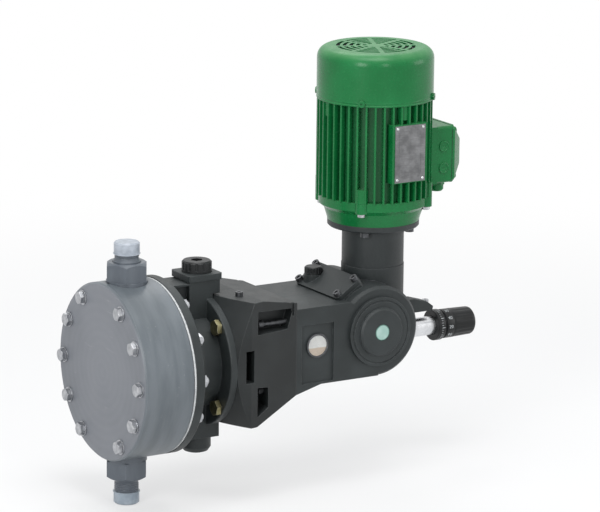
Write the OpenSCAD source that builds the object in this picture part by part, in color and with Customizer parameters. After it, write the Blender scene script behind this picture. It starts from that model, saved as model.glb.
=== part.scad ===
// Motor driven dosing pump: plastic liquid head, oil-backed diaphragm, lantern,
// worm gear case, upright motor and a stroke knob at the rear.
// The origin is the centre of the mounting face under the gear case.
// +X runs along the pump axis to the stroke knob, +Z is up.

/* [Gear case] */
// Radius of the round gear housing
case_r = 52; // [51:1:55]
// Height of the wheel shaft above the pump axis
shaft_rise = 20; // [18:1:22]
// Wheel shaft forward of the mounting centre
case_x = 30; // [24:1:36]
// Half width of the gear case across the pump
case_half = 60; // [58:1:66]
// Thickness of the end walls of the gear case
case_end_wall = 12; // [11:1:13]
// Thickness of the round wall and the floor
case_wall = 6; // [5.5:0.25:7]
// From the wheel shaft forward to the lantern joint
case_nose = 109; // [104:1:116]
// Top of the nose above the pump axis
nose_top = 58; // [54:1:62]
// Bottom of the nose below the pump axis, at the lantern joint
nose_drop = 41; // [40:1:46]
// Length of the sloping underside of the nose
nose_slope = 33; // [28:1:38]
// Front wall of the gear case
nose_wall = 12; // [11:1:14]

/* [Mounting] */
// Spacing of the mounting holes along the pump
foot_px = 50; // [40:1:56]
// Spacing of the mounting holes across the pump
foot_py = 108; // [106:1:110]
// Wall radius of the tapped mounting holes
foot_hole_r = 3.4; // [2.5:0.1:4.2]
// Depth of the tapped mounting holes
foot_depth = 16; // [10:1:20]

/* [Liquid head] */
// Radius of the head and of the flange behind it
head_r = 100; // [98:1:106]
// Thickness of the head
head_t = 62; // [58:1:70]
// Chamfer on the rims of the head
head_chamfer = 2; // [1:0.5:3]
// From the head's rim in to the circle of head bolts
head_bolt_in = 12.7; // [11:0.1:14]
// Positions on the bolt circle, with none at the two valves
head_bolt_steps = 12; // [10:2:14]
// Radius of the head bolt shanks
head_bolt_r = 4; // [3:0.5:4.5]
// Width across the flats of the head bolts
head_bolt_flats = 13; // [10:0.5:14]
// Height of the bolt heads
head_bolt_head = 5.3; // [4:0.1:7]
// Radius of the washers
washer_r = 8.4; // [7.5:0.1:9]
// Thickness of the washers
washer_t = 1.6; // [1:0.1:2]
// Thread standing out of the nuts
bolt_tail = 3; // [1:1:5]
// Radius of the liquid chamber in the head
liquid_r = 70; // [60:1:74]
// Depth of the liquid chamber
liquid_d = 8; // [5:1:12]
// Height of the ducts that join the chamber to the valves
duct_h = 44; // [38:1:50]
// Radius of the ducts and the valve ports
duct_r = 7.5; // [5:0.5:8]

/* [Diaphragm] */
// From the head's rim in to the edge of the diaphragm
membrane_in = 1; // [0.5:0.5:4]
// Thickness of the diaphragm
membrane_t = 2; // [1.5:0.5:3]
// Radius of the perforated support plate
support_r = 66; // [60:1:70]
// Thickness of the support plate
support_t = 4; // [3:1:6]
// Space between the diaphragm and the support plate
support_space = 3; // [2:1:5]
// Radius of the holes in the support plate
support_hole_r = 3; // [2:0.5:3.5]

/* [Valves] */
// Depth of the valve seats in the head's rim
valve_in = 9; // [8:0.5:10]
// Radius of the ring of a valve body
valve_ring_r = 23; // [21:1:24]
// Height of the ring
valve_ring_t = 10.5; // [9:0.5:12]
// Radius of the part of a valve body inside the head
valve_plug_r = 17; // [15:1:18]
// Length of the part inside the head
valve_plug_l = 25; // [24:1:30]
// Radius of the ball
ball_r = 8; // [7:0.5:8.5]
// Lift of the ball
ball_lift = 3; // [2:0.5:3.5]
// Radius of the seat under the ball
seat_r = 6; // [5:0.5:6.5]
// Radius of the space round the ball
cage_r = 10; // [9.5:0.5:11]
// Width across the flats of the union nuts
union_flats = 43.5; // [42:0.5:46]
// Height of the union nuts
union_t = 21; // [20:1:23]
// Thickness of the union nut's end wall
union_lip = 4; // [3:1:5]
// Radius of the thread inside a union nut
union_thread_r = 20; // [19.5:0.5:20.5]
// Radius of the outer thread of the pipe connectors
pipe_thread_r = 13.2; // [12:0.1:14]
// Length of the thread outside the union nut
pipe_thread_l = 16; // [14:1:18]
// Radius of the way through a connector
pipe_bore_r = 8; // [6:0.5:9]
// Extra depth of the suction valve body
suction_extra = 2.5; // [1:0.5:4]
// How far the upper port cap goes over the thread
cap_grip = 12; // [10:1:12.5]
// How far the lower port cap goes over the thread
cap_grip_low = 5; // [4:1:8]
// Wall of the push-on port caps
cap_wall = 1.2; // [1:0.1:2]
// Height of the port caps
cap_h = 14; // [12:1:16]

/* [Hydraulic chamber] */
// From the diaphragm back to the lantern
chamber_l = 66; // [64:1:72]
// Thickness of the big flange behind the head
chamber_flange_t = 11; // [9:1:14]
// Radius of the neck behind the flange
neck_r = 48; // [44:1:52]
// Radius of the round body at the lantern
barrel_r = 54; // [53:1:54.5]
// Length of the round body
barrel_l = 36; // [32:1:38]
// Rounding of the round body
barrel_round = 8; // [4:1:10]
// Radius of the rear flange and of the lantern's rim
rim_r = 75; // [74.5:0.5:77]
// Thickness of the rear flange
rim_t = 8; // [6:1:10]
// Radius of the circle of chamber bolts
rim_bolt_ring = 65; // [64.5:0.5:65.5]
// Radius of the chamber bolts
rim_bolt_r = 5; // [4:0.5:5]
// Width across the flats of the chamber bolts
rim_bolt_flats = 16; // [13:1:16]
// Half width of the square column
column_half = 19; // [18:1:20]
// From the lantern forward to the column's middle
column_back = 10; // [9:1:12]
// Top of the column above the pump axis
column_top = 101; // [98:1:104]
// Height of the pad at the column's top
column_pad = 7; // [5:1:9]
// Radius of the upright oil bore in the column
column_bore_r = 8; // [7:0.5:8]
// Bottom of the square part of the column below the pump axis
column_low = 88; // [86:1:92]
// Radius of the drain stub
stub_r = 17; // [16:0.5:17.5]
// Length of the drain stub
stub_l = 19; // [16:1:22]
// Radius of the head of the fill plug
fill_plug_r = 17; // [15:0.5:18]
// Height of the head of the fill plug
fill_plug_h = 13; // [11:1:15]
// Length of the fill plug's thread
fill_plug_depth = 12; // [10:1:14]
// Width across the flats of the plug's socket
fill_socket = 12; // [10:1:14]

/* [Plunger] */
// Radius of the plunger
plunger_r = 22; // [20:1:22]
// Plunger's nose behind the diaphragm
plunger_nose = 42; // [38:1:46]
// Full stroke of the plunger
stroke = 10; // [6:1:10]
// Outer radius of the plunger seals
seal_r = 27; // [26:0.5:28]
// Width of one plunger seal
seal_w = 5; // [4:0.5:5.5]
// Number of plunger seals
seals_n = 3; // [2:1:3]
// Outer radius of the seal housing
stuffing_r = 38; // [37:1:40]
// Length of the seal housing behind the rear flange
stuffing_l = 26; // [25:1:30]
// Radius of the push rod
rod_r = 8; // [7:0.5:8]

/* [Lantern] */
// Length of the lantern
lantern_l = 85; // [82:1:92]
// Length of the round part that flares to the square
flare_l = 18; // [17:1:20]
// Bottom of the lantern below the pump axis
lantern_low = 67; // [65:1:70]
// Top of the lantern at the gear case, above the pump axis
lantern_end_top = 66; // [64:1:70]
// Half size of the square
lantern_half = 75; // [75:0.5:78]
// Radius of the inside of the lantern
lantern_bore_r = 44; // [42:1:46]
// Thickness of the front wall
lantern_front = 9; // [8:1:10]
// Thickness of the rear wall
lantern_back = 14; // [12:1:16]
// Length of the side windows
window_l = 11; // [8:1:14]
// Height of the side windows
window_h = 37; // [30:1:44]
// Depth of the bolt pockets in the sides
pocket_depth = 12; // [11.5:0.5:14]
// Height of the bolts in the upper pockets above the axis
pocket_bolt_up = 45; // [44:1:46]
// Height of the bolts in the lower pockets below the axis
pocket_bolt_down = 31; // [30:0.5:32]
// From the side of the gear case in to the pocket bolts
pocket_bolt_in = 6; // [5.5:0.5:6]
// Radius of the pocket bolts
pocket_bolt_r = 3; // [2.5:0.5:3]
// Radius of the heads of the pocket bolts
pocket_head_r = 5; // [4:0.5:5]

/* [Gears] */
// Gear module
module_mm = 1.5; // [1.4:0.05:1.5]
// Teeth of the worm wheel
wheel_teeth = 25; // [24:1:26]
// Pitch radius of the worm
worm_pitch_r = 9.25; // [9:0.05:9.5]
// Length of the worm
worm_l = 24; // [20:1:24]
// Half width of the worm wheel
wheel_half = 6; // [5:0.5:6]
// Play between the worm and the wheel, on each flank
flank_play = 0.35; // [0.3:0.05:0.4]
// Radius of the gear shafts in their bearings
shaft_r = 7.5; // [7:0.5:8]
// Outer radius of the gear bearings
bearing_r = 16; // [15:0.5:17]
// Width of the gear bearings
bearing_w = 9; // [8:1:9]
// Radius of the eccentrics
cam_r = 14; // [13:0.5:14.5]
// Width of each eccentric
cam_w = 8; // [6:0.5:8]
// Gap between the worm wheel and an eccentric
cam_gap = 2; // [1.5:0.5:2.5]

/* [Yoke and spring] */
// Thickness of the yoke's arms
arm_t = 6; // [5:0.5:6]
// Gap between an eccentric and an arm
arm_gap = 2; // [1.5:0.5:3]
// Height of the arms above the pump axis
arm_up = 7; // [5:0.5:7]
// Depth of the arms below the pump axis
arm_down = 7; // [5:0.5:8]
// Thickness of the yoke's front bar
front_bar_t = 8; // [6:1:9]
// Wire radius of the return spring
spring_wire_r = 1.75; // [1.5:0.05:2]
// Middle radius of the return spring
spring_r = 14; // [13:0.5:16]
// Turns of the return spring
spring_turns = 5; // [4:0.5:6]

/* [Side cover and fittings] */
// Radius of the round side cover
cover_r = 40; // [39:0.5:41]
// Radius of the cover's spigot in the case
cover_spigot_r = 36; // [34:1:37]
// Thickness of the cover's rim
cover_rim_t = 4; // [3:0.5:5]
// Radius of the raised middle of the cover
cover_boss_r = 28; // [26:1:30]
// How far the middle stands out
cover_boss_t = 4; // [3:0.5:6]
// Sight glass forward of the wheel shaft
sight_x = 81; // [78:1:83]
// Height of the sight glass above the pump axis
sight_h = 13; // [10:1:16]
// Radius of the sight glass ring
sight_r = 14; // [12:0.5:14.5]
// Radius of the clear window
sight_window_r = 9.5; // [8:0.5:10]
// How far the ring stands out of the panel
sight_out = 3; // [2:0.5:4]
// Depth of the sunk panel round the sight glass
panel_d = 2.5; // [1.5:0.5:3]
// Direction of the top cover seen from the side, in degrees
lid_angle = 124; // [122:1:126]
// From the wheel shaft to the underside of the top cover
lid_dist = 54; // [53.5:0.25:55.5]
// Thickness of the top cover
lid_t = 6; // [5:0.5:8]
// Half width of the top cover
lid_half = 46; // [44:1:48]
// Lower end of the top cover along its slope
lid_low = 17; // [16:1:18]
// Upper end of the top cover along its slope
lid_high = 20; // [18:1:21]
// Radius of the cover screws
lid_screw_r = 2.5; // [2:0.5:3]
// Radius of the oil filler cap
filler_r = 10.3; // [9:0.1:11]
// Height of the oil filler cap
filler_h = 9; // [8:1:12]
// Distance of the oil filler from the middle plane
filler_y = 29; // [28:0.5:30]
// Width across the flats of the socket in the oil drain plug
drain_flats = 5; // [4:1:6]

/* [Pedestal] */
// Top of the pedestal above the pump axis
pedestal_top = 136.5; // [131:0.5:138]
// Bottom of the pedestal above the pump axis
pedestal_low = 85; // [84:1:87]
// Outer radius of the pedestal tube
pedestal_r = 35.5; // [35:0.5:37]
// Radius of the case boss under the pedestal
boss_r = 36; // [35.5:0.5:37]
// Wall of the pedestal tube
pedestal_wall = 6; // [5.5:0.25:6.5]
// Radius of the motor flange
motor_flange_r = 52.5; // [52:0.5:54]
// Thickness of the motor flange
motor_flange_t = 7; // [6:1:10]
// Radius of the circle of motor bolts
motor_bolt_ring = 42.5; // [42:0.5:43]
// Radius of the motor bolts
motor_bolt_r = 3; // [2.5:0.5:3]

/* [Motor] */
// Height of the drive end shield
shield_h = 30; // [24:1:32]
// Radius of the top of the drive end shield
shield_r = 63; // [61:0.5:64]
// Height of the finned frame
frame_h = 111; // [96:1:116]
// Radius of the frame under the fins
frame_r = 57; // [56:0.5:58]
// Wall of the frame
frame_wall = 5; // [4:0.5:6]
// Radius over the fins
fin_r = 66; // [64:0.5:67]
// Thickness of a fin
fin_t = 2.2; // [1.8:0.1:2.8]
// Number of fins
fins_n = 40; // [32:4:44]
// Radius of the fan cover
cowl_r = 66.5; // [66:0.5:69]
// Height of the fan cover
cowl_h = 59; // [56:1:96]
// Rounding of the fan cover
cowl_round = 13; // [10:1:16]
// Sheet thickness of the fan cover
cowl_t = 1.2; // [1:0.1:1.6]
// Radius of the grille
grille_r = 45; // [42:1:48]
// Rings of slots in the grille
grille_rings = 5; // [4:1:6]
// Radius of the rotor
rotor_r = 32; // [30:1:33]
// Room in the frame above and below the packs
pack_room = 22.5; // [20:0.5:26]
// Gap between rotor and stator
air_gap = 0.4; // [0.3:0.1:0.6]
// Radius of the motor shaft at the drive end
motor_shaft_r = 7; // [6.5:0.1:7]
// Length of the motor shaft below the flange
motor_shaft_l = 30; // [28:1:32]
// Radius of the fan
fan_r = 50; // [46:1:54]
// Blades of the fan
fan_blades = 8; // [6:1:10]

/* [Terminal box] */
// Middle of the terminal box above the motor flange
box_h = 74; // [70:1:76]
// Half height of the terminal box
box_half_h = 33; // [31:1:34]
// Half width of the terminal box
box_half_w = 40; // [38:1:42]
// From the motor axis to the lid joint
box_joint = 80; // [78:1:84]
// From the motor axis to the outside of the lid
box_reach = 106; // [102:1:110]
// Chamfer of the lid
box_chamfer = 14; // [10:1:16]
// Wall of the terminal box
box_wall = 3; // [2.5:0.5:4]
// Height of the data plate
plate_h = 65; // [56:1:66]
// Width of the data plate
plate_w = 40; // [38:1:48]
// Data plate above the middle of the terminal box
plate_up = 13; // [8:1:14]
// Data plate behind the motor axis
plate_side = 5; // [0:1:6]

/* [Stroke knob] */
// From the wheel shaft to the end of the rear boss
rear_boss_l = 66; // [64:1:70]
// Radius of the rear boss
rear_boss_r = 15; // [14:0.5:16]
// Radius of the stroke spindle
spindle_r = 11; // [10:0.5:11]
// From the rear boss to the knob
spindle_show = 44; // [40:1:48]
// Radius of the knob's skirt
skirt_r = 18; // [17:0.5:19]
// Length of the knob's skirt
skirt_l = 12; // [10:1:14]
// Radius of the knob at the skirt
knob_r = 17; // [16:0.25:17]
// Radius of the knob at its end
knob_end_r = 16.25; // [15.5:0.25:16.5]
// Length of the knob
knob_l = 53; // [50:1:80]
// Pitch of the spindle's thread
spindle_pitch = 2.5; // [1.5:0.5:3]
// Radius of the stop pin
stop_r = 5; // [4:0.5:5]

/* [Hidden] */
$fn = 72;

// Radial clearance of a running fit
run_fit = 0.05;
// Clearance of a piece that is seated but never turns
seat_fit = 0.05;
// Radial clearance of a bolt in its hole
hole_fit = 0.3;
// Gap kept between a moving piece and its stop
stop_gap = 0.3;

// Stations along the pump axis
axis_h = case_r - shaft_rise;
shaft_z = case_r;
joint_x = case_x - case_nose;
rim_x = joint_x - lantern_l;
membrane_x = rim_x - chamber_l;
head_back_x = membrane_x - membrane_t;
head_x = head_back_x - head_t;
head_bolt_ring = head_r - head_bolt_in;
membrane_r = head_r - membrane_in;
valve_h = head_r - valve_in;
valve_x = head_back_x - head_t / 2;
column_x = rim_x - column_back;
worm_gap = worm_pitch_r + module_mm * wheel_teeth / 2;
motor_x = case_x + worm_gap;
seat_z = axis_h + pedestal_low;
flange_z = axis_h + pedestal_top;
shield_top = flange_z + shield_h;
frame_top = shield_top + frame_h;
cowl_top = frame_top + cowl_h;
case_in_r = case_r - case_wall;
inner_half = case_half - case_end_wall;
pocket_in = case_half - pocket_depth;
pocket_bolt_y = case_half - pocket_bolt_in;
rest_gap = stroke + stop_gap;
nut_t = 6.5;
small_head_t = 5;
small_head_r = 4.3;

// Plunger line
nose_x = membrane_x + plunger_nose;
seal_end_x = rim_x + stuffing_l;
plunger_end_x = seal_end_x + stroke + 3;
cam_throw = stroke / 2;
cam_reach = cam_r + cam_throw;
pad_x = case_x - cam_reach - stop_gap;
bar_x = pad_x - front_bar_t - 4;
rear_bar_x = case_x + worm_gap - 2;
rear_bar_t = 9;
cam_in = wheel_half + cam_gap;
arm_in = cam_in + cam_w + arm_gap;
arm_out = arm_in + arm_t;
stop_x = rear_bar_x + rear_bar_t + rest_gap;
boss_end_x = case_x + rear_boss_l;
knob_x = boss_end_x + spindle_show;
pin_head_x = stop_x + 18;
pin_head_l = 8;
bush_wall_x = pin_head_x - rest_gap;
bush_start_x = stop_x - 3.5;
bush_end_x = knob_x + 6;
spindle_core_r = spindle_r - 3;
spindle_end_x = knob_x + knob_l - 12;

// Height of a ball's middle over its seat
seated_h = sqrt(ball_r * ball_r - seat_r * seat_r) + 0.08;

// Worm and wheel
lead = PI * module_mm;
worm_tip_r = worm_pitch_r + module_mm * 0.77;
worm_root_r = worm_pitch_r - module_mm * 1.13;
tooth_half = (PI * module_mm / 2 - flank_play) / 2;
wheel_pitch_r = module_mm * wheel_teeth / 2;
wheel_tip_r = wheel_pitch_r + module_mm * 0.93;
wheel_root_r = wheel_pitch_r - module_mm * 1.25;
wheel_base_r = wheel_pitch_r * cos(20);
worm_z = shaft_z;

// Upright bearings and motor
low_bearing_z = seat_z - 25;
high_bearing_z = seat_z - bearing_w;
motor_shaft_low = flange_z - motor_shaft_l;
worm_top = motor_shaft_low + 24;
shield_floor = 8;
motor_bearing_r = 17.5;
motor_bearing_w = 11;
motor_seat_r = 7.5;
pack_h = frame_h - 2 * pack_room;
core_z = shield_top + pack_room;
rear_seat_z = frame_top + 3;
fan_z = frame_top + 26;
fan_w = cowl_h - 33;
frame_in_r = frame_r - frame_wall;
lug_ring = 61;
box_z = flange_z + box_h;
box_foot = frame_r + 3;
rear_ring = 58;
lock_x = knob_x - 9;
filler_x = case_x - 33.5;
filler_z = axis_h + 72;
gland_y = box_half_w - 19;
// Radius of the shallow round seat in the side cover
badge_seat_r = 9.5;

module along_x(x, up = 0) {
  translate([x, 0, axis_h + up])
    rotate([0, 90, 0])
      children();
}

module across(y) {
  translate([case_x, y, shaft_z])
    rotate([-90, 0, 0])
      children();
}

module valve_axis(side) {
  translate([valve_x, 0, axis_h])
    rotate([side > 0 ? 0 : 180, 0, 0])
      children();
}

module hex(flats, h) {
  cylinder(r = flats / sqrt(3), h = h, $fn = 6);
}

module ring(r_out, r_in, h) {
  difference() {
    cylinder(r = r_out, h = h);
    translate([0, 0, -1])
      cylinder(r = r_in, h = h + 2);
  }
}

module rounded_box(sx, sy, sz, r) {
  linear_extrude(height = sz)
    hull()
      for (x = [-1, 1])
        for (y = [-1, 1])
          translate([x * (sx / 2 - r), y * (sy / 2 - r)])
            circle(r = r);
}

module head_circle() {
  for (i = [0 : head_bolt_steps - 1])
    if (i % (head_bolt_steps / 2) != 0)
      rotate([0, 0, i * 360 / head_bolt_steps])
        translate([head_bolt_ring, 0, 0])
          children();
}

module four(r, first = 45) {
  for (i = [0 : 3])
    rotate([0, 0, first + i * 90])
      translate([r, 0, 0])
        children();
}

// Head, diaphragm and chamber

module pump_head() color([0.47, 0.49, 0.52]) {
  difference() {
    along_x(head_x)
      rotate_extrude()
        polygon([[0, 0], [head_r - head_chamfer, 0], [head_r, head_chamfer],
            [head_r, head_t - head_chamfer], [head_r - head_chamfer, head_t], [0, head_t]]);
    along_x(head_back_x - liquid_d)
      rotate_extrude()
        polygon([[0, 0], [liquid_r - 8, 0], [liquid_r, liquid_d], [liquid_r, liquid_d + 1],
            [0, liquid_d + 1]]);
    along_x(head_x - 1)
      head_circle()
        cylinder(r = head_bolt_r + hole_fit, h = head_t + 2);
    for (side = [-1, 1]) {
      valve_axis(side) {
        translate([0, 0, valve_h])
          cylinder(r = valve_ring_r + 0.4, h = head_r);
        translate([0, 0, valve_h - valve_plug_l])
          cylinder(r = valve_plug_r + seat_fit, h = head_r);
        translate([0, 0, duct_h])
          cylinder(r = duct_r, h = head_r - duct_h);
      }
      along_x(valve_x, side * duct_h)
        cylinder(r = duct_r - 0.5, h = head_t / 2 - 2);
    }
  }
}

module head_bolts() color([0.75, 0.76, 0.78]) {
  along_x(head_x - washer_t - head_bolt_head)
    head_circle() {
      hex(head_bolt_flats, head_bolt_head);
      cylinder(r = head_bolt_r, h = head_bolt_head + washer_t + head_t + membrane_t
          + chamber_flange_t + nut_t + bolt_tail);
    }
}

module head_washers() color([0.72, 0.73, 0.75]) {
  along_x(head_x - washer_t)
    head_circle()
      ring(washer_r, head_bolt_r + hole_fit, washer_t);
}

module head_nuts() color([0.72, 0.73, 0.75]) {
  along_x(membrane_x + chamber_flange_t)
    head_circle()
      difference() {
        hex(head_bolt_flats, nut_t);
        translate([0, 0, -1])
          cylinder(r = head_bolt_r + seat_fit, h = nut_t + 2);
      }
}

module diaphragm() color([0.85, 0.85, 0.82]) {
  difference() {
    along_x(head_back_x)
      cylinder(r = membrane_r, h = membrane_t);
    along_x(head_back_x - 1)
      head_circle()
        cylinder(r = head_bolt_r + hole_fit, h = membrane_t + 2);
  }
}

module support_plate() color([0.7, 0.71, 0.72]) {
  along_x(membrane_x + support_space)
    difference() {
      cylinder(r = support_r, h = support_t);
      translate([0, 0, -1])
        cylinder(r = 5, h = support_t + 2);
      for (k = [1 : 3])
        for (i = [0 : 4 * k + 1])
          rotate([0, 0, i * 360 / (4 * k + 2)])
            translate([k * 11, 0, -1])
              cylinder(r = support_hole_r, h = support_t + 2, $fn = 32);
    }
}

module hydraulic_chamber() color([0.23, 0.26, 0.27]) {
  cavity_end = rim_x - 14;
  neck_l = chamber_l - chamber_flange_t - barrel_l;
  difference() {
    union() {
      along_x(membrane_x)
        rotate_extrude()
          polygon([[0, 0], [head_r, 0], [head_r, chamber_flange_t - 1.5],
              [head_r - 1.5, chamber_flange_t], [0, chamber_flange_t]]);
      along_x(membrane_x + 1)
        cylinder(r = neck_r, h = chamber_flange_t + neck_l);
      along_x(rim_x - barrel_l)
        rotate_extrude() {
          translate([0, barrel_round])
            square([barrel_r, barrel_l - barrel_round]);
          square([barrel_r - barrel_round, barrel_l]);
          translate([barrel_r - barrel_round, barrel_round])
            circle(r = barrel_round);
        }
      along_x(rim_x - rim_t)
        rotate_extrude()
          polygon([[0, 0], [rim_r - 1, 0], [rim_r, 1], [rim_r, rim_t], [0, rim_t]]);
      along_x(rim_x - 1)
        cylinder(r = stuffing_r, h = stuffing_l + 1);
      // Square column, wider above and below the lantern
      translate([column_x - column_half, -column_half, axis_h - column_low])
        cube([column_half + column_back, 2 * column_half, column_low + column_top - column_pad]);
      translate([column_x - column_half, -column_half, axis_h + lantern_half + 3])
        cube([2 * column_half, 2 * column_half, column_top - lantern_half - 3 - column_pad / 2]);
      translate([column_x - column_half, -column_half, axis_h - column_low])
        cube([2 * column_half, 2 * column_half, column_low - lantern_low - 3]);
      translate([column_x, 0, axis_h + column_top - column_pad])
        rounded_box(2 * column_half + 5, 2 * column_half + 5, column_pad, 4);
      // Webs from the column to the big flange
      translate([membrane_x + chamber_flange_t - 2, -column_half, axis_h + neck_r - 10])
        cube([column_x - membrane_x - chamber_flange_t + 4, 2 * column_half,
           column_top - column_pad / 2 - neck_r + 5]);
      translate([membrane_x + chamber_flange_t - 2, -6, axis_h - column_low + 4])
        cube([column_x - membrane_x - chamber_flange_t + 4, 12, column_low - neck_r + 10]);
      // Drain stub
      translate([column_x, 0, axis_h - column_low - stub_l])
        rotate_extrude()
          polygon([[0, 0], [stub_r - 7, 0], [stub_r - 3, 1.5], [stub_r, 6], [stub_r, stub_l + 2],
              [0, stub_l + 2]]);
    }
    // Oil space
    along_x(membrane_x - 1)
      rotate_extrude()
        polygon([[0, 0], [support_r + seat_fit, 0],
            [support_r + seat_fit, support_space + support_t + 1],
            [neck_r - 9, support_space + support_t + 1], [neck_r - 9, chamber_flange_t + 12],
            [plunger_r + 6, chamber_flange_t + 24],
            [plunger_r + 6, cavity_end - membrane_x + 1],
            [plunger_r + run_fit, cavity_end - membrane_x + 1],
            [plunger_r + run_fit, chamber_l + stuffing_l + 3], [0, chamber_l + stuffing_l + 3]]);
    along_x(seal_end_x - 4)
      for (i = [1 : seals_n])
        translate([0, 0, -i * (seal_w + 2) + 2])
          ring(seal_r + seat_fit, plunger_r - 1, seal_w);
    translate([column_x, 0, axis_h + plunger_r + 5])
      cylinder(r = column_bore_r, h = column_top);
    translate([column_x, 0, axis_h + column_top - fill_plug_depth - 1])
      cylinder(r = fill_plug_r - 5, h = fill_plug_depth + 3);
    // Hollow triangles in the upper web
    for (s = [-1, 1])
      translate([0, s > 0 ? column_half - 7 : -column_half - 1, axis_h])
        rotate([90, 0, 0])
          mirror([0, 0, 1])
            linear_extrude(height = 8)
              polygon([[membrane_x + chamber_flange_t + 3, column_top - 11],
                  [column_x - column_half - 1, column_top - 11],
                  [column_x - column_half - 1, column_top - 30]]);
    along_x(membrane_x - 1)
      head_circle()
        cylinder(r = head_bolt_r + hole_fit, h = chamber_flange_t + 2);
    along_x(rim_x - rim_t - 1)
      four(rim_bolt_ring)
        cylinder(r = rim_bolt_r + hole_fit, h = rim_t + 2);
  }
}

module fill_plug() color([0.08, 0.08, 0.09]) {
  translate([rim_x - column_back, 0, axis_h + column_top])
    difference() {
      union() {
        translate([0, 0, -fill_plug_depth])
          cylinder(r = fill_plug_r - 5 - seat_fit, h = fill_plug_depth + 1);
        rotate_extrude()
          polygon([[0, 0], [fill_plug_r, 0], [fill_plug_r, fill_plug_h - 2],
              [fill_plug_r - 2, fill_plug_h], [0, fill_plug_h]]);
      }
      for (i = [0 : 11])
        rotate([0, 0, i * 30])
          translate([fill_plug_r + 1.6, 0, 3])
            cylinder(r = 2.6, h = fill_plug_h, $fn = 32);
      translate([0, 0, fill_plug_h - 8])
        hex(fill_socket, 9);
    }
}

module chamber_bolts() color([0.62, 0.6, 0.4]) {
  along_x(rim_x - rim_t - 6.4)
    four(rim_bolt_ring) {
      hex(rim_bolt_flats, 6.4);
      cylinder(r = rim_bolt_r, h = 6.4 + rim_t + lantern_front - 1.5);
    }
}

// Valves and pipe connectors

module valve_shell(extra) {
  translate([0, 0, valve_h - valve_plug_l])
    cylinder(r = valve_plug_r, h = valve_plug_l + 1);
  translate([0, 0, valve_h])
    cylinder(r = valve_ring_r, h = valve_ring_t + extra);
  translate([0, 0, valve_h + valve_ring_t + extra - 1])
    cylinder(r = union_thread_r, h = 13);
}

module ball_stop(z) {
  for (a = [0, 90])
    rotate([0, 0, a])
      translate([-cage_r - 1, -1.5, z])
        cube([2 * cage_r + 2, 3, 4]);
}

module discharge_valve_body() color([0.42, 0.44, 0.47]) {
  valve_axis(1) {
    difference() {
      valve_shell(0);
      translate([0, 0, valve_h - valve_plug_l - 1])
        cylinder(r = seat_r, h = 13);
      translate([0, 0, valve_h - valve_plug_l + 11])
        cylinder(r = cage_r, h = valve_plug_l + valve_ring_t + 14);
    }
    ball_stop(valve_h - valve_plug_l + 11 + seated_h + ball_r + ball_lift + stop_gap);
  }
}

module suction_valve_body() color([0.42, 0.44, 0.47]) {
  valve_axis(-1) {
    difference() {
      valve_shell(suction_extra);
      translate([0, 0, valve_h - valve_plug_l - 1])
        cylinder(r = cage_r, h = valve_plug_l + 10);
      translate([0, 0, valve_h + 8])
        cylinder(r = seat_r, h = 30);
    }
    ball_stop(valve_h + 9 - seated_h - ball_r - ball_lift - stop_gap - 4);
  }
}

module discharge_ball() color([0.85, 0.86, 0.88]) {
  valve_axis(1)
    translate([0, 0, valve_h - valve_plug_l + 11 + seated_h])
      sphere(r = ball_r);
}

module suction_ball() color([0.85, 0.86, 0.88]) {
  valve_axis(-1)
    translate([0, 0, valve_h + 9 - seated_h])
      sphere(r = ball_r);
}

module valve_seals() color([0.1, 0.1, 0.1]) {
  for (side = [-1, 1])
    valve_axis(side)
      translate([0, 0, valve_h + valve_ring_t + 12 + (side < 0 ? suction_extra : 0)])
        ring(union_thread_r - 1, 13, union_t - union_lip - 15.5);
}

module union_nuts() color([0.4, 0.42, 0.45]) {
  for (side = [-1, 1])
    valve_axis(side)
      translate([0, 0, valve_h + valve_ring_t + (side < 0 ? suction_extra : 0)])
        difference() {
          intersection() {
            hex(union_flats, union_t);
            rotate_extrude()
              polygon([[0, 0], [union_flats / sqrt(3) + 1, 0],
                  [union_flats / sqrt(3) + 1, union_t - 4],
                  [union_flats / 2 - 1.5, union_t], [0, union_t]]);
          }
          translate([0, 0, -1])
            cylinder(r = union_thread_r + seat_fit, h = union_t - union_lip + 1);
          cylinder(r = pipe_thread_r + 2.8, h = union_t + 1);
        }
}

module pipe_connectors() color([0.4, 0.42, 0.45]) {
  for (side = [-1, 1])
    valve_axis(side)
      translate([0, 0, valve_h + valve_ring_t + union_t - union_lip + (side < 0 ? suction_extra : 0)])
        difference() {
          rotate_extrude()
            polygon([[0, -3.5], [union_thread_r - 0.5, -3.5], [union_thread_r - 0.5, 0],
                [pipe_thread_r + 2.5, 0], [pipe_thread_r + 2.5, union_lip + 1],
                [pipe_thread_r, union_lip + 4.5],
                [pipe_thread_r, union_lip + 4.5 + pipe_thread_l],
                [0, union_lip + 4.5 + pipe_thread_l]]);
          translate([0, 0, -5])
            cylinder(r = pipe_bore_r, h = union_lip + pipe_thread_l + 12);
        }
}

module port_caps() color([0.75, 0.78, 0.8]) {
  for (side = [-1, 1])
    valve_axis(side)
      translate([0, 0, valve_h + valve_ring_t + union_t + 4.5 + pipe_thread_l
           + (side < 0 ? suction_extra - cap_grip_low : -cap_grip)])
        difference() {
          rotate_extrude()
            polygon([[0, 0], [pipe_thread_r + seat_fit + cap_wall, 0],
                [pipe_thread_r + seat_fit + cap_wall, cap_h - 1.5],
                [pipe_thread_r + cap_wall - 1.5, cap_h], [0, cap_h]]);
          translate([0, 0, -1])
            cylinder(r = pipe_thread_r + seat_fit, h = cap_h - cap_wall + 1);
        }
}

// Lantern

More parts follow.
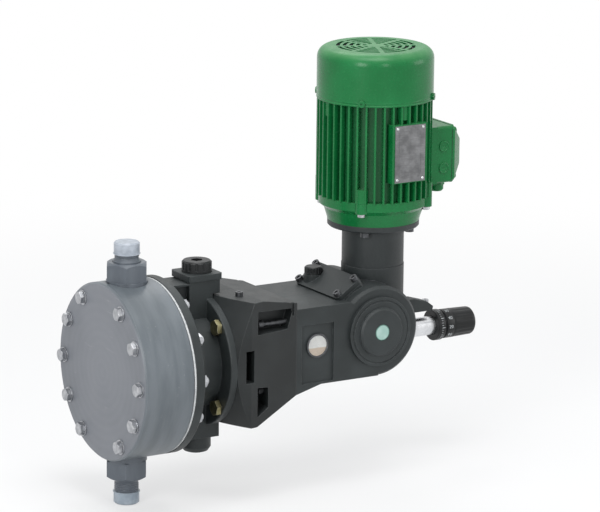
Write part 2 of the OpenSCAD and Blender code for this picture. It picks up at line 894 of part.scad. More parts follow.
module lantern_shape(grow, x0, x1) {
  intersection() {
    translate([0, 150, axis_h])
      rotate([90, 0, 0])
        linear_extrude(height = 300)
          polygon([[rim_x + x0, -lantern_low - grow], [rim_x + x0, lantern_half + 1 + grow],
              [rim_x + flare_l + 17, lantern_half + 1 + grow],
              [joint_x - x1, lantern_end_top + grow], [joint_x - x1, -nose_drop - grow],
              [rim_x + flare_l + 9, -lantern_low - grow]]);
    translate([0, 0, axis_h - 150])
      linear_extrude(height = 300)
        polygon([[rim_x + x0, -lantern_half - grow], [rim_x + flare_l, -lantern_half - grow],
            [joint_x - x1, -case_half - grow], [joint_x - x1, case_half + grow],
            [rim_x + flare_l, lantern_half + grow], [rim_x + x0, lantern_half + grow]]);
    along_x(rim_x + x0)
      rotate_extrude()
        polygon([[0, 0], [rim_r + grow - 0.6, 0], [rim_r + grow + 31, 22], [rim_r + grow + 31, 200],
            [0, 200]]);
  }
}

module lantern() color([0.23, 0.26, 0.27]) {
  difference() {
    lantern_shape(0, 0, 0);
    // Inside space, front bore and rear way for the push rod
    translate([rim_x + lantern_front, -pocket_in + 5, axis_h - 40])
      cube([lantern_l - lantern_front - lantern_back, 2 * pocket_in - 10, 92]);
    along_x(rim_x - 1)
      cylinder(r = lantern_bore_r, h = lantern_front + 2);
    along_x(joint_x - lantern_back - 1)
      cylinder(r = rod_r + 8, h = lantern_back + 2);
    // Side windows
    translate([rim_x + 11, -lantern_half - 20, axis_h + 3.5 - window_h / 2])
      cube([window_l, 2 * lantern_half + 40, window_h]);
    // Bolt pockets
    for (s = [-1, 1]) {
      translate([0, s > 0 ? pocket_in : -pocket_in - 60, axis_h])
        rotate([90, 0, 0])
          mirror([0, 0, 1])
            linear_extrude(height = 60) {
              polygon([[rim_x + 27, 38.5], [rim_x + 27, 65], [joint_x - 6, 61],
                  [joint_x - lantern_back, 38.5]]);
              polygon([[rim_x + 27, -22], [rim_x + 43, -24], [rim_x + 43, -47],
                  [rim_x + 27, -56]]);
            }
      for (z = [pocket_bolt_up, -pocket_bolt_down])
        translate([rim_x + 40, s * pocket_bolt_y, axis_h + z])
          rotate([0, 90, 0])
            cylinder(r = pocket_bolt_r + hole_fit, h = lantern_l);
      translate([rim_x + 24, s * 36, axis_h + lantern_half - 8])
        cylinder(r = lid_screw_r + seat_fit, h = 20);
    }
    along_x(rim_x - 1)
      four(rim_bolt_ring)
        cylinder(r = rim_bolt_r + seat_fit, h = lantern_front + 0.2);
    // Dovetail slot at the joint
    for (s = [-1, 1])
      translate([joint_x - 7, s * (case_half + 1) - 2, axis_h + lantern_end_top - 14])
        cube([3, 4, 30]);
  }
}

module plunger_seals() color([0.12, 0.12, 0.12]) {
  along_x(seal_end_x - 4)
    for (i = [1 : seals_n])
      translate([0, 0, -i * (seal_w + 2) + 2])
        ring(seal_r, plunger_r + run_fit, seal_w);
}

module lantern_bolts() color([0.35, 0.36, 0.38]) {
  for (s = [-1, 1])
    for (z = [pocket_bolt_up, -pocket_bolt_down])
      translate([rim_x + 43 - 6, s * pocket_bolt_y, axis_h + z])
        rotate([0, 90, 0]) {
          difference() {
            cylinder(r = pocket_head_r, h = 6);
            translate([0, 0, -1])
              hex(5, 4);
          }
          translate([0, 0, 5])
            cylinder(r = pocket_bolt_r, h = lantern_l - 43 + nose_wall - 1);
        }
}

// Gear case and its fittings

module lid_frame(out) {
  translate([case_x, 0, shaft_z])
    rotate([0, 90 - lid_angle, 0])
      translate([0, 0, lid_dist + out])
        children();
}

module lid_plan(grow, h) {
  translate([(lid_high - lid_low) / 2, 0, 0])
    rounded_box(lid_low + lid_high + 2 * grow, 2 * lid_half + 2 * grow, h, 5);
}

module lid_screws_at() {
  for (x = [-lid_low + 5, lid_high - 5])
    for (y = [-1, 1])
      translate([x, y * (lid_half - 5), 0])
        children();
}

module case_outside() {
  // Round housing with chamfered ends
  across(0)
    rotate_extrude()
      polygon([[0, -case_half], [case_r - 3, -case_half], [case_r, 3 - case_half],
          [case_r, case_half - 3], [case_r - 3, case_half], [0, case_half]]);
  // Nose towards the lantern and the flat foot
  translate([0, case_half, axis_h])
    rotate([90, 0, 0])
      linear_extrude(height = 2 * case_half)
        polygon([[joint_x, -nose_drop], [joint_x + nose_slope, -axis_h], [case_x, -axis_h],
            [case_x, shaft_rise + 20], [case_x - 38, nose_top], [joint_x, nose_top]]);
  // Seat of the top cover
  difference() {
    lid_frame(-20)
      lid_plan(0, 20);
    across(-case_half)
      cylinder(r = case_in_r, h = 2 * case_half);
  }
  // Boss under the pedestal
  translate([motor_x, 0, shaft_z + 20])
    cylinder(r = boss_r, h = seat_z - shaft_z - 20);
  // Rear boss and lug over the stroke spindle
  along_x(case_x + 20)
    cylinder(r = rear_boss_r, h = rear_boss_l - 20);
  translate([0, 8, axis_h])
    rotate([90, 0, 0])
      linear_extrude(height = 16)
        polygon([[case_x + 30, 8], [boss_end_x - 2, 8], [boss_end_x - 2, 20], [knob_x - 4, 20],
            [knob_x - 3, 25], [knob_x - 11, 31], [knob_x - 28, 36], [case_x + 30, 38]]);
}

module gear_case() color([0.22, 0.25, 0.26]) {
  difference() {
    case_outside();
    // Round space for the wheel
    across(-inner_half)
      cylinder(r = case_in_r, h = 2 * inner_half);
    // Space for the rod, the spring and the yoke
    translate([joint_x + nose_wall, -inner_half + 8, case_wall])
      cube([case_nose - nose_wall, 2 * inner_half - 16, axis_h + nose_top - 2 * case_wall]);
    // Opening under the top cover
    lid_frame(-30)
      translate([(lid_high - lid_low) / 2, 0, 0])
        rounded_box(lid_low + lid_high - 18, 2 * lid_half - 22, 40, 4);
    lid_frame(0)
      lid_plan(hole_fit, 30);
    lid_frame(-9)
      lid_screws_at()
        cylinder(r = lid_screw_r + seat_fit, h = 20);
    // Way and seats for the worm shaft
    translate([motor_x, 0, shaft_z])
      cylinder(r = worm_tip_r + 1.2, h = 60);
    translate([motor_x, 0, low_bearing_z])
      cylinder(r = bearing_r + seat_fit, h = 60);
    translate([motor_x, 0, seat_z - 3])
      cylinder(r = 20 + seat_fit, h = 10);
    translate([motor_x, 0, seat_z - 14])
      four(24.5)
        cylinder(r = motor_bolt_r + seat_fit, h = 20);
    // Wheel shaft bearing in the far wall
    across(inner_half - 2)
      cylinder(r = bearing_r + seat_fit, h = bearing_w);
    // Opening for the side cover
    across(-case_half - 1)
      cylinder(r = cover_spigot_r + seat_fit, h = case_end_wall + 2);
    // Rod bush
    along_x(joint_x - 1)
      cylinder(r = rod_r + 5 + seat_fit, h = nose_wall + 2);
    // Stroke bush
    along_x(bush_start_x - 20)
      cylinder(r = spindle_r + seat_fit, h = 100);
    // Lock screw
    translate([lock_x, 0, axis_h + 10]) {
      cylinder(r = 2 + seat_fit, h = 40);
      translate([0, 0, 18])
        cylinder(r = 4.6, h = 20);
    }
    // Sunk panel and sight glass
    translate([case_x - sight_x - 21, -case_half - 1, axis_h - 30])
      cube([42, panel_d + 1, 68]);
    translate([case_x - sight_x, -case_half, axis_h + sight_h])
      rotate([-90, 0, 0]) {
        cylinder(r = sight_r - 2.5 + seat_fit, h = 9);
        cylinder(r = sight_window_r - 2, h = 40);
      }
    // Drain plug
    translate([joint_x + nose_slope + 12, -case_half + 18, -1])
      cylinder(r = 5 + seat_fit, h = case_wall + 2);
    // Mounting holes
    for (x = [-1, 1])
      for (y = [-1, 1])
        translate([x * foot_px / 2, y * foot_py / 2, -1])
          cylinder(r = foot_hole_r, h = foot_depth + 1);
    // Bolts from the lantern
    for (s = [-1, 1])
      for (z = [pocket_bolt_up, -pocket_bolt_down])
        translate([joint_x - 1, s * pocket_bolt_y, axis_h + z])
          rotate([0, 90, 0])
            cylinder(r = pocket_bolt_r + seat_fit, h = nose_wall);
  }
}

module rod_bush() color([0.72, 0.55, 0.25]) {
  along_x(joint_x)
    ring(rod_r + 5, rod_r + run_fit, nose_wall);
}

module side_cover() color([0.2, 0.23, 0.24]) {
  difference() {
    union() {
      across(-case_half - cover_rim_t)
        cylinder(r = cover_r, h = cover_rim_t);
      across(-case_half - 1)
        cylinder(r = cover_spigot_r, h = case_end_wall + 1);
      across(-case_half - cover_rim_t - cover_boss_t)
        rotate_extrude()
          polygon([[0, 0], [cover_boss_r - 2, 0], [cover_boss_r, 2],
              [cover_boss_r, cover_boss_t + 1], [0, cover_boss_t + 1]]);
    }
    across(2 - inner_half - bearing_w)
      cylinder(r = bearing_r + seat_fit, h = bearing_w + 5);
    // Round groove and a shallow seat for a disc
    across(-case_half - cover_rim_t - 1)
      ring(cover_r - 3, cover_r - 5, 2);
    across(-case_half - cover_rim_t - cover_boss_t - 1)
      cylinder(r = badge_seat_r, h = 1.6);
  }
}

module top_cover() color([0.25, 0.28, 0.29]) {
  difference() {
    union() {
      lid_frame(0)
        lid_plan(0, lid_t);
      intersection() {
        translate([filler_x, filler_y, shaft_z + 30])
          cylinder(r = filler_r + 0.7, h = filler_z - shaft_z - 30);
        lid_frame(0)
          translate([-60, 0, 0])
            cube([120, 60, 60]);
      }
    }
    translate([filler_x, filler_y, shaft_z])
      cylinder(r = 7 + seat_fit, h = 80);
    translate([filler_x, filler_y, filler_z])
      cylinder(r = filler_r + 0.7, h = 20);
    lid_frame(-1)
      lid_screws_at()
        cylinder(r = lid_screw_r + hole_fit, h = lid_t + 2);
  }
}

module cap_screw(r, l, head_r, head_h, socket) {
  difference() {
    union() {
      cylinder(r = head_r, h = head_h);
      translate([0, 0, -l])
        cylinder(r = r, h = l + 1);
    }
    translate([0, 0, head_h - socket / 2])
      hex(socket, socket);
  }
}

module case_screws() color([0.3, 0.31, 0.33]) {
  lid_frame(lid_t)
    lid_screws_at()
      cap_screw(lid_screw_r, 14, small_head_r, small_head_t, 4);
  for (s = [-1, 1])
    translate([rim_x + 24, s * 36, axis_h + lantern_half + 1])
      cap_screw(lid_screw_r, 8, small_head_r, small_head_t, 4);
}

module oil_filler_cap() color([0.07, 0.07, 0.08]) {
  translate([filler_x, filler_y, filler_z])
    union() {
      translate([0, 0, -5])
        cylinder(r = 7, h = 6);
      difference() {
        rotate_extrude()
          polygon([[0, 0], [filler_r, 0], [filler_r, filler_h - 1.5], [filler_r - 1.5, filler_h],
              [0, filler_h]]);
        for (i = [0 : 15])
          rotate([0, 0, i * 22.5])
            translate([filler_r + 0.7, 0, 2])
              cylinder(r = 1.4, h = filler_h, $fn = 24);
      }
    }
}

module sight_glass() color([0.8, 0.85, 0.85]) {
  translate([case_x - sight_x, -case_half + 5, axis_h + sight_h])
    rotate([-90, 0, 0])
      cylinder(r = sight_window_r, h = 4);
}

module sight_glass_ring() color([0.3, 0.32, 0.33]) {
  translate([case_x - sight_x, -case_half + panel_d - sight_out, axis_h + sight_h])
    rotate([-90, 0, 0])
      difference() {
        union() {
          cylinder(r = sight_r, h = sight_out);
          cylinder(r = sight_r - 2.5, h = sight_out - panel_d + 9);
        }
        translate([0, 0, -1])
          cylinder(r = sight_window_r - 1, h = 30);
        translate([0, 0, sight_out - panel_d + 5])
          cylinder(r = sight_window_r, h = 30);
      }
}

module oil_drain_plug() color([0.4, 0.41, 0.43]) {
  translate([joint_x + nose_slope + 12, -case_half + 18, 0.3])
    difference() {
      cylinder(r = 5, h = case_wall - 0.3);
      translate([0, 0, -1])
        hex(drain_flats, 4.5);
    }
}

module bearing(r_out, r_in, w) {
  difference() {
    cylinder(r = r_out, h = w);
    translate([0, 0, -1])
      cylinder(r = r_in, h = w + 2);
    for (z = [-1, w - 0.6])
      translate([0, 0, z])
        ring(r_out - 2.5, r_in + 2.2, 1.6);
  }
}

module gear_bearings() color([0.7, 0.71, 0.73]) {
  across(inner_half - 2)
    bearing(bearing_r, shaft_r + run_fit, bearing_w);
  across(2 - inner_half - bearing_w)
    bearing(bearing_r, shaft_r + run_fit, bearing_w);
  for (z = [low_bearing_z, high_bearing_z])
    translate([motor_x, 0, z])
      bearing(bearing_r, shaft_r + run_fit, bearing_w);
}

// Pedestal and motor

module pedestal() color([0.2, 0.22, 0.23]) {
  translate([motor_x, 0, 0])
    difference() {
      union() {
        translate([0, 0, seat_z])
          cylinder(r = pedestal_r, h = flange_z - seat_z - motor_flange_t + 1);
        translate([0, 0, seat_z - 3])
          cylinder(r = 20, h = 4);
        translate([0, 0, flange_z - motor_flange_t])
          rotate_extrude()
            polygon([[0, 0], [motor_flange_r - 1.5, 0], [motor_flange_r, 1.5],
                [motor_flange_r, motor_flange_t], [0, motor_flange_t]]);
      }
      translate([0, 0, seat_z + 6])
        cylinder(r = pedestal_r - pedestal_wall, h = 100);
      translate([0, 0, seat_z - 4])
        cylinder(r = bearing_r - 3, h = 100);
      translate([0, 0, seat_z - 4])
        cylinder(r = bearing_r + hole_fit, h = 4);
      translate([0, 0, flange_z - 3])
        cylinder(r = 35 + seat_fit, h = 10);
      translate([0, 0, flange_z - 16])
        four(motor_bolt_ring)
          cylinder(r = motor_bolt_r + hole_fit, h = 20);
      translate([0, 0, seat_z - 4])
        four(24.5)
          cylinder(r = motor_bolt_r + hole_fit, h = 20);
    }
}

module flange_bolts() color([0.35, 0.36, 0.38]) {
  translate([motor_x, 0, flange_z - motor_flange_t])
    four(motor_bolt_ring)
      mirror([0, 0, 1])
        cap_screw(motor_bolt_r, motor_flange_t + 7, 5, 6, 5);
  translate([motor_x, 0, seat_z + 6])
    four(24.5)
      cap_screw(motor_bolt_r, 19, 4.8, 6, 5);
}

module drive_end_shield() color([0.1, 0.42, 0.24]) {
  translate([motor_x, 0, flange_z])
    difference() {
      union() {
        rotate_extrude()
          polygon([[0, 0], [motor_flange_r, 0], [motor_flange_r + 1, 4], [frame_r, shield_h - 15],
              [shield_r, shield_h - 10], [shield_r, shield_h], [0, shield_h]]);
        translate([0, 0, -2.5])
          cylinder(r = 35, h = 3);
        four(lug_ring)
          translate([0, 0, shield_h - 12])
            cylinder(r = 7, h = 11.8);
      }
      translate([0, 0, -4])
        cylinder(r = motor_seat_r + 1, h = 30);
      translate([0, 0, shield_floor])
        difference() {
          cylinder(r = frame_in_r - 4, h = shield_h);
          translate([0, 0, -1])
            cylinder(r = motor_bearing_r + 6, h = motor_bearing_w + 2);
        }
      translate([0, 0, shield_floor])
        cylinder(r = motor_bearing_r + seat_fit, h = 40);
      translate([0, 0, -1])
        four(motor_bolt_ring)
          cylinder(r = motor_bolt_r + seat_fit, h = 8.5);
      four(lug_ring) {
        translate([0, 0, shield_h - 14])
          cylinder(r = 2.5 + hole_fit, h = 20);
        translate([0, 0, -1])
          cylinder(r = 5.5, h = shield_h - 11);
      }
    }
}

module motor_frame() color([0.1, 0.45, 0.25]) {
  translate([motor_x, 0, shield_top])
    difference() {
      union() {
        cylinder(r = frame_r, h = frame_h);
        linear_extrude(height = frame_h)
          difference() {
            for (i = [0 : fins_n - 1])
              rotate([0, 0, (i + 0.5) * 360 / fins_n])
                translate([frame_r - 1, -fin_t / 2])
                  square([fin_r - frame_r + 1, fin_t]);
            translate([frame_r - 2, -box_half_w + 3])
              square([20, 2 * box_half_w - 6]);
          }
        four(lug_ring)
          cylinder(r = 7, h = 16);
        translate([0, 0, frame_h - 16])
          four(rear_ring, 0)
            cylinder(r = 6.5, h = 16);
        // Flat seat of the terminal box
        translate([frame_r - 8, -box_half_w, box_z - shield_top - box_half_h])
          cube([box_foot - frame_r + 8, 2 * box_half_w, 2 * box_half_h]);
        // Flat seat of the data plate
        translate([plate_side - plate_w / 2 - 3, -fin_r - 1,
            box_z + plate_up - shield_top - plate_h / 2 - 1])
          cube([plate_w + 6, 17, plate_h + 2]);
      }
      translate([0, 0, -1])
        cylinder(r = frame_in_r, h = frame_h + 2);
      translate([0, 0, -1])
        four(lug_ring)
          cylinder(r = 2.5 + seat_fit, h = 13);
      translate([0, 0, frame_h - 12])
        four(rear_ring, 0)
          cylinder(r = 2.5 + seat_fit, h = 13);
      // Way for the wires
      translate([frame_in_r - 4, 0, box_z - shield_top])
        rotate([0, 90, 0])
          cylinder(r = 10, h = 30);
    }
}

module stator_core() color([0.45, 0.45, 0.46]) {
  translate([motor_x, 0, core_z])
    difference() {
      cylinder(r = frame_in_r, h = pack_h);
      translate([0, 0, -1])
        cylinder(r = rotor_r + air_gap, h = pack_h + 2);
      for (i = [0 : 23])
        rotate([0, 0, i * 15])
          translate([rotor_r + 1.5, -1.6, -1])
            cube([11, 3.2, pack_h + 2]);
    }
}

module stator_windings() color([0.7, 0.35, 0.15]) {
  translate([motor_x, 0, core_z]) {
    for (i = [0 : 23])
      rotate([0, 0, i * 15])
        translate([rotor_r + 2, -1.5, -2])
          cube([10, 3, pack_h + 4]);
    for (z = [-11, pack_h + 1])
      translate([0, 0, z])
        rotate_extrude()
          polygon([[rotor_r + 2, 0], [frame_in_r - 4, 0], [frame_in_r - 3, 3], [frame_in_r - 3, 10],
              [rotor_r + 2, 10]]);
  }
}

module rear_end_shield() color([0.1, 0.42, 0.24]) {
  translate([motor_x, 0, frame_top])
    difference() {
      union() {
        cylinder(r = frame_r, h = 8);
        cylinder(r = motor_bearing_r + 6, h = 16);
        translate([0, 0, -6])
          cylinder(r = frame_in_r - seat_fit, h = 7);
        four(rear_ring, 0)
          cylinder(r = 6.5, h = 8);
        four(0)
          translate([frame_r - 5, -6, 0])
            cube([cowl_r - cowl_t - frame_r + 4.6, 12, 8]);
      }
      translate([0, 0, -7])
        cylinder(r = frame_in_r - 5, h = 9);
      translate([0, 0, -7])
        cylinder(r = motor_seat_r + 1, h = 40);
      translate([0, 0, -7])
        cylinder(r = motor_bearing_r + seat_fit, h = 10 + motor_bearing_w);
      translate([0, 0, -1])
        four(rear_ring, 0)
          cylinder(r = 2.5 + hole_fit, h = 12);
      translate([0, 0, 4])
        four(cowl_r - 12)
          rotate([0, 90, 0])
            cylinder(r = 2 + seat_fit, h = 20);
    }
}

module motor_bearings() color([0.7, 0.71, 0.73]) {
  translate([motor_x, 0, flange_z + shield_floor])
    bearing(motor_bearing_r, motor_seat_r + run_fit, motor_bearing_w);
  translate([motor_x, 0, rear_seat_z])
    bearing(motor_bearing_r, motor_seat_r + run_fit, motor_bearing_w);
}

module shield_bolts() color([0.55, 0.56, 0.58]) {
  translate([motor_x, 0, shield_top - 12])
    four(lug_ring)
      mirror([0, 0, 1]) {
        hex(8, 4);
        translate([0, 0, -22])
          cylinder(r = 2.5, h = 23);
      }
  translate([motor_x, 0, frame_top + 8])
    four(rear_ring, 0) {
      hex(8, 4);
      translate([0, 0, -18])
        cylinder(r = 2.5, h = 19);
    }
}

module fan_cover() color([0.1, 0.45, 0.25]) {
  translate([motor_x, 0, frame_top]) {
    difference() {
      rotate_extrude() {
        polygon([[0, 0], [cowl_r, 0], [cowl_r, cowl_h - cowl_round], [0, cowl_h - cowl_round]]);
        square([cowl_r - cowl_round, cowl_h]);
        translate([cowl_r - cowl_round, cowl_h - cowl_round])
          circle(r = cowl_round);
      }
      translate([0, 0, -1])
        rotate_extrude() {
          square([cowl_r - cowl_t, cowl_h - cowl_round + 1]);
          square([cowl_r - cowl_round, cowl_h - cowl_t + 1]);
          translate([cowl_r - cowl_round, cowl_h - cowl_round + 1])
            circle(r = cowl_round - cowl_t);
        }
      // Grille of ring slots, between eight ribs
      difference() {
        for (k = [0 : grille_rings - 1])
          translate([0, 0, cowl_h - 5])
            ring(grille_r - k * 7.5, grille_r - k * 7.5 - 4.2, 10);
        for (i = [0 : 3])
          rotate([0, 0, i * 45 + 22.5])
            translate([-grille_r - 5, -2.5, cowl_h - 6])
              cube([2 * grille_r + 10, 5, 12]);
      }
      translate([0, 0, 4])
        four(cowl_r - 5)
          rotate([0, 90, 0])
            cylinder(r = 2 + hole_fit, h = 10);
    }
  }
}

module motor_screws() color([0.55, 0.56, 0.58]) {
  translate([motor_x, 0, frame_top + 4])
    four(cowl_r)
      rotate([0, 90, 0])
        cap_screw(2, 10, 4, 2.6, 2.5);
  box_corners(box_joint + 5)
    cap_screw(2, 10, 4, 2.6, 2.5);
}

module data_plate() color([0.78, 0.78, 0.79]) {
  translate([motor_x + plate_side - plate_w / 2, -fin_r - 1.8, box_z + plate_up - plate_h / 2])
    cube([plate_w, 0.8, plate_h]);
}

module box_corners(x) {
  for (y = [-1, 1])
    for (z = [-1, 1])
      translate([motor_x + x, y * (box_half_w - 7), box_z + z * (box_half_h - 7)])
        rotate([0, 90, 0])
          children();
}

module terminal_box() color([0.1, 0.43, 0.24]) {
  difference() {
    translate([motor_x + box_foot, 0, box_z])
      rotate([0, 90, 0])
        rounded_box(2 * box_half_h, 2 * box_half_w, box_joint - box_foot, 4);
    difference() {
      translate([motor_x + box_foot + box_wall, -box_half_w + box_wall, box_z - box_half_h + box_wall])
        cube([box_joint, 2 * (box_half_w - box_wall), 2 * (box_half_h - box_wall)]);
      box_corners(box_foot)
        cylinder(r = 5.5, h = 40);
    }
    box_corners(box_joint - 8)
      cylinder(r = 2 + seat_fit, h = 20);
    translate([motor_x + box_foot - 1, 0, box_z])
      rotate([0, 90, 0])
        cylinder(r = 10, h = 10);
    translate([motor_x + (box_foot + box_wall + box_joint) / 2, -gland_y, box_z - box_half_h - 1])
      cylinder(r = 6 + seat_fit, h = box_wall + 2);
  }
}

// Chamfered block of the lid, made smaller all round by in
module lid_block(in) {
  hull() {
    translate([motor_x + box_joint, in - box_half_w - 0.5, box_z - box_half_h - 0.5 + in])
      cube([box_reach - box_joint - box_chamfer + 1, 2 * (box_half_w - in) + 1,
          2 * (box_half_h - in) + 1]);
    translate([motor_x + box_joint, box_chamfer - box_half_w - 2 + in / 2,
        box_z - box_half_h + box_chamfer + in / 2])
      cube([box_reach - box_joint - in, 2 * (box_half_w - box_chamfer + 2) - in,
          2 * (box_half_h - box_chamfer) - in]);
  }
}

module terminal_box_lid() color([0.1, 0.45, 0.25]) {
  difference() {
    union() {
      difference() {
        lid_block(0);
        translate([-0.5, 0, 0])
          lid_block(box_wall);
      }
      intersection() {
        lid_block(0.5);
        box_corners(box_joint)
          cylinder(r = 7, h = 40);
      }
    }
    box_corners(box_joint - 1)
      cylinder(r = 2 + hole_fit, h = 30);
    box_corners(box_joint + 5)
      cylinder(r = 5, h = 40);
  }
}

module cable_gland() color([0.1, 0.35, 0.2]) {
  translate([motor_x + (box_foot + box_wall + box_joint) / 2, -gland_y, box_z - box_half_h])
    difference() {
      union() {
        translate([0, 0, -1])
          cylinder(r = 6, h = box_wall + 2);
        translate([0, 0, -5])
          rotate([0, 0, 30])
            hex(16, 5);
        translate([0, 0, -12])
          rotate_extrude()
            polygon([[0, 0], [6.5, 0], [8.2, 2], [8.2, 7.5], [0, 7.5]]);
      }
      translate([0, 0, -13])
        cylinder(r = 3.6, h = 30);
    }
}

// Turning pieces of the motor and the worm

module rotor() color([0.55, 0.55, 0.57]) {
  translate([motor_x, 0, core_z])
    difference() {
      union() {
        cylinder(r = rotor_r, h = pack_h);
        for (z = [-5, pack_h - 1])
          translate([0, 0, z])
            cylinder(r = rotor_r - 3, h = 6);
      }
      translate([0, 0, -6])
        cylinder(r = 9.5 + seat_fit, h = pack_h + 20);
    }
}

module motor_shaft() color([0.7, 0.71, 0.73]) {
  translate([motor_x, 0, 0])
    rotate_extrude()
      polygon([[0, motor_shaft_low], [motor_shaft_r - 0.7, motor_shaft_low],
          [motor_shaft_r, motor_shaft_low + 0.7], [motor_shaft_r, flange_z + 1],
          [motor_seat_r, flange_z + 1], [motor_seat_r, flange_z + shield_floor + motor_bearing_w + 0.3],
          [9.5, flange_z + shield_floor + motor_bearing_w + 0.3], [9.5, rear_seat_z - 0.3],
          [motor_seat_r, rear_seat_z - 0.3], [motor_seat_r, rear_seat_z + motor_bearing_w + 4],
          [6, rear_seat_z + motor_bearing_w + 4], [6, fan_z + 22], [0, fan_z + 22]]);
}

module fan() color([0.12, 0.12, 0.13]) {
  translate([motor_x, 0, fan_z])
    difference() {
      union() {
        cylinder(r = 13, h = 20);
        cylinder(r = fan_r - 4, h = 2.5);
        for (i = [0 : fan_blades - 1])
          rotate([0, 0, i * 360 / fan_blades])
            translate([11, -1.25, 0])
              cube([fan_r - 11, 2.5, fan_w]);
      }
      translate([0, 0, -1])
        cylinder(r = 6 + seat_fit, h = 40);
    }
}

// Half thickness of the worm's tooth at radius r
function worm_half(r) = tooth_half - (r - worm_pitch_r) * tan(20);

module worm_section() {
  a_tip = worm_half(worm_tip_r) * 360 / lead;
  a_root = min(179, worm_half(worm_root_r) * 360 / lead);
  polygon(concat(
    [for (i = [-2 : 2]) let (a = i * a_tip / 2) [worm_tip_r * cos(a), worm_tip_r * sin(a)]],
    [for (i = [1 : 4]) let (a = a_tip + (a_root - a_tip) * i / 4,
      r = worm_tip_r + (worm_root_r - worm_tip_r) * i / 4) [r * cos(a), r * sin(a)]],
    [for (i = [1 : 4]) let (a = a_root + (360 - 2 * a_root) * i / 5)
      [worm_root_r * cos(a), worm_root_r * sin(a)]],
    [for (i = [4 : -1 : 1]) let (a = -a_tip - (a_root - a_tip) * i / 4,
      r = worm_tip_r + (worm_root_r - worm_tip_r) * i / 4) [r * cos(a), r * sin(a)]]));
}

module worm_shaft() color([0.68, 0.69, 0.71]) {
  turn = -360 * worm_l / lead;
  translate([motor_x, 0, 0])
    difference() {
      union() {
        translate([0, 0, worm_z - worm_l / 2])
          rotate([0, 0, 180 + turn / 2])
            linear_extrude(height = worm_l, twist = turn, slices = 92, $fn = 8)
              worm_section();
        rotate_extrude()
          polygon([[0, worm_z + worm_l / 2 - 0.5], [shaft_r, worm_z + worm_l / 2 - 0.5],
              [shaft_r, low_bearing_z + bearing_w + 0.2], [shaft_r + 2, low_bearing_z + bearing_w + 0.2],
              [shaft_r + 2, high_bearing_z - 0.2], [shaft_r, high_bearing_z - 0.2],
              [shaft_r, seat_z + 8], [12, seat_z + 10], [12, worm_top], [0, worm_top]]);
      }
      translate([0, 0, motor_shaft_low - 1])
        cylinder(r = motor_shaft_r + seat_fit, h = 60);
    }
}

// Angle of the rolling curve at pressure angle a, in degrees
function roll(a) = (tan(a) - a * PI / 180) * 180 / PI;
function slope_at(r) = r <= wheel_base_r ? 0 : acos(wheel_base_r / r);
function half_tooth(r) = tooth_half / wheel_pitch_r * 180 / PI + roll(20) - roll(slope_at(r));

module wheel_section() {
  radii = [wheel_root_r, wheel_base_r, wheel_pitch_r, (wheel_pitch_r + wheel_tip_r) / 2, wheel_tip_r];
  polygon([for (t = [0 : wheel_teeth - 1])
    for (k = [-5 : 4])
      let (i = k < 0 ? k + 5 : 4 - k, r = radii[i], s = k < 0 ? -1 : 1,
        a = (t + 0.5) * 360 / wheel_teeth + s * half_tooth(r))
        [r * cos(a), r * sin(a)]]);
}

module worm_wheel() color([0.72, 0.55, 0.25]) {
  turn = -2 * wheel_half * lead / (2 * PI * worm_pitch_r) / wheel_pitch_r * 180 / PI;
  difference() {
    union() {
      across(-wheel_half)
        rotate([0, 0, turn / 2])
          linear_extrude(height = 2 * wheel_half, twist = turn, slices = 2, $fn = 8)
            wheel_section();
      across(-cam_in)
        cylinder(r = 11, h = 2 * cam_in);
      for (y = [-cam_in - cam_w, cam_in])
        across(y)
          translate([cam_throw, 0, 0])
            cylinder(r = cam_r, h = cam_w);
    }
    across(-40)
      cylinder(r = shaft_r + seat_fit, h = 80);
  }
}

module wheel_shaft() color([0.68, 0.69, 0.71]) {
  across(2 - inner_half - bearing_w + stop_gap)
    cylinder(r = shaft_r, h = 2 * (inner_half + bearing_w - 2 - stop_gap));
}

// Yoke, rod and plunger

module yoke() color([0.35, 0.36, 0.38]) {
  difference() {
    union() {
      translate([bar_x, -arm_out, axis_h - arm_down])
        cube([front_bar_t, 2 * arm_out, arm_down + shaft_rise + 12]);
      for (s = [-1, 1]) {
        translate([bar_x, s * (cam_in + cam_w / 2) - cam_w / 2, shaft_z - 12])
          cube([pad_x - bar_x, cam_w, 24]);
        translate([bar_x, s > 0 ? arm_in : -arm_out, axis_h - arm_down])
          cube([rear_bar_x + rear_bar_t - bar_x, arm_t, arm_down + arm_up]);
      }
      translate([rear_bar_x, -arm_out, axis_h - 5])
        cube([rear_bar_t, 2 * arm_out, 10]);
    }
    along_x(bar_x - 1)
      cylinder(r = rod_r + seat_fit, h = front_bar_t + 2);
  }
}

module push_rod() color([0.72, 0.73, 0.75]) {
  along_x(plunger_end_x - 20)
    cylinder(r = rod_r, h = bar_x + front_bar_t - plunger_end_x + 20);
}

module plunger() color([0.7, 0.71, 0.73]) {
  difference() {
    along_x(nose_x)
      rotate_extrude()
        polygon([[0, 0], [plunger_r - 2, 0], [plunger_r, 2], [plunger_r, plunger_end_x - nose_x - 1],
            [plunger_r - 1, plunger_end_x - nose_x], [0, plunger_end_x - nose_x]]);
    along_x(plunger_end_x - 20)
      cylinder(r = rod_r + seat_fit, h = 30);
  }
}

module spring_section() {
  pitch = (bar_x - joint_x - nose_wall) / spring_turns;
  n = 8;
  polygon(concat(
    [for (i = [0 : n]) let (t = -90 + 180 * i / n, a = spring_wire_r * sin(t) * 360 / pitch,
      r = spring_r + spring_wire_r * cos(t)) [r * cos(a), r * sin(a)]],
    [for (i = [1 : n - 1]) let (t = 90 - 180 * i / n, a = spring_wire_r * sin(t) * 360 / pitch,
      r = spring_r - spring_wire_r * cos(t)) [r * cos(a), r * sin(a)]]));
}

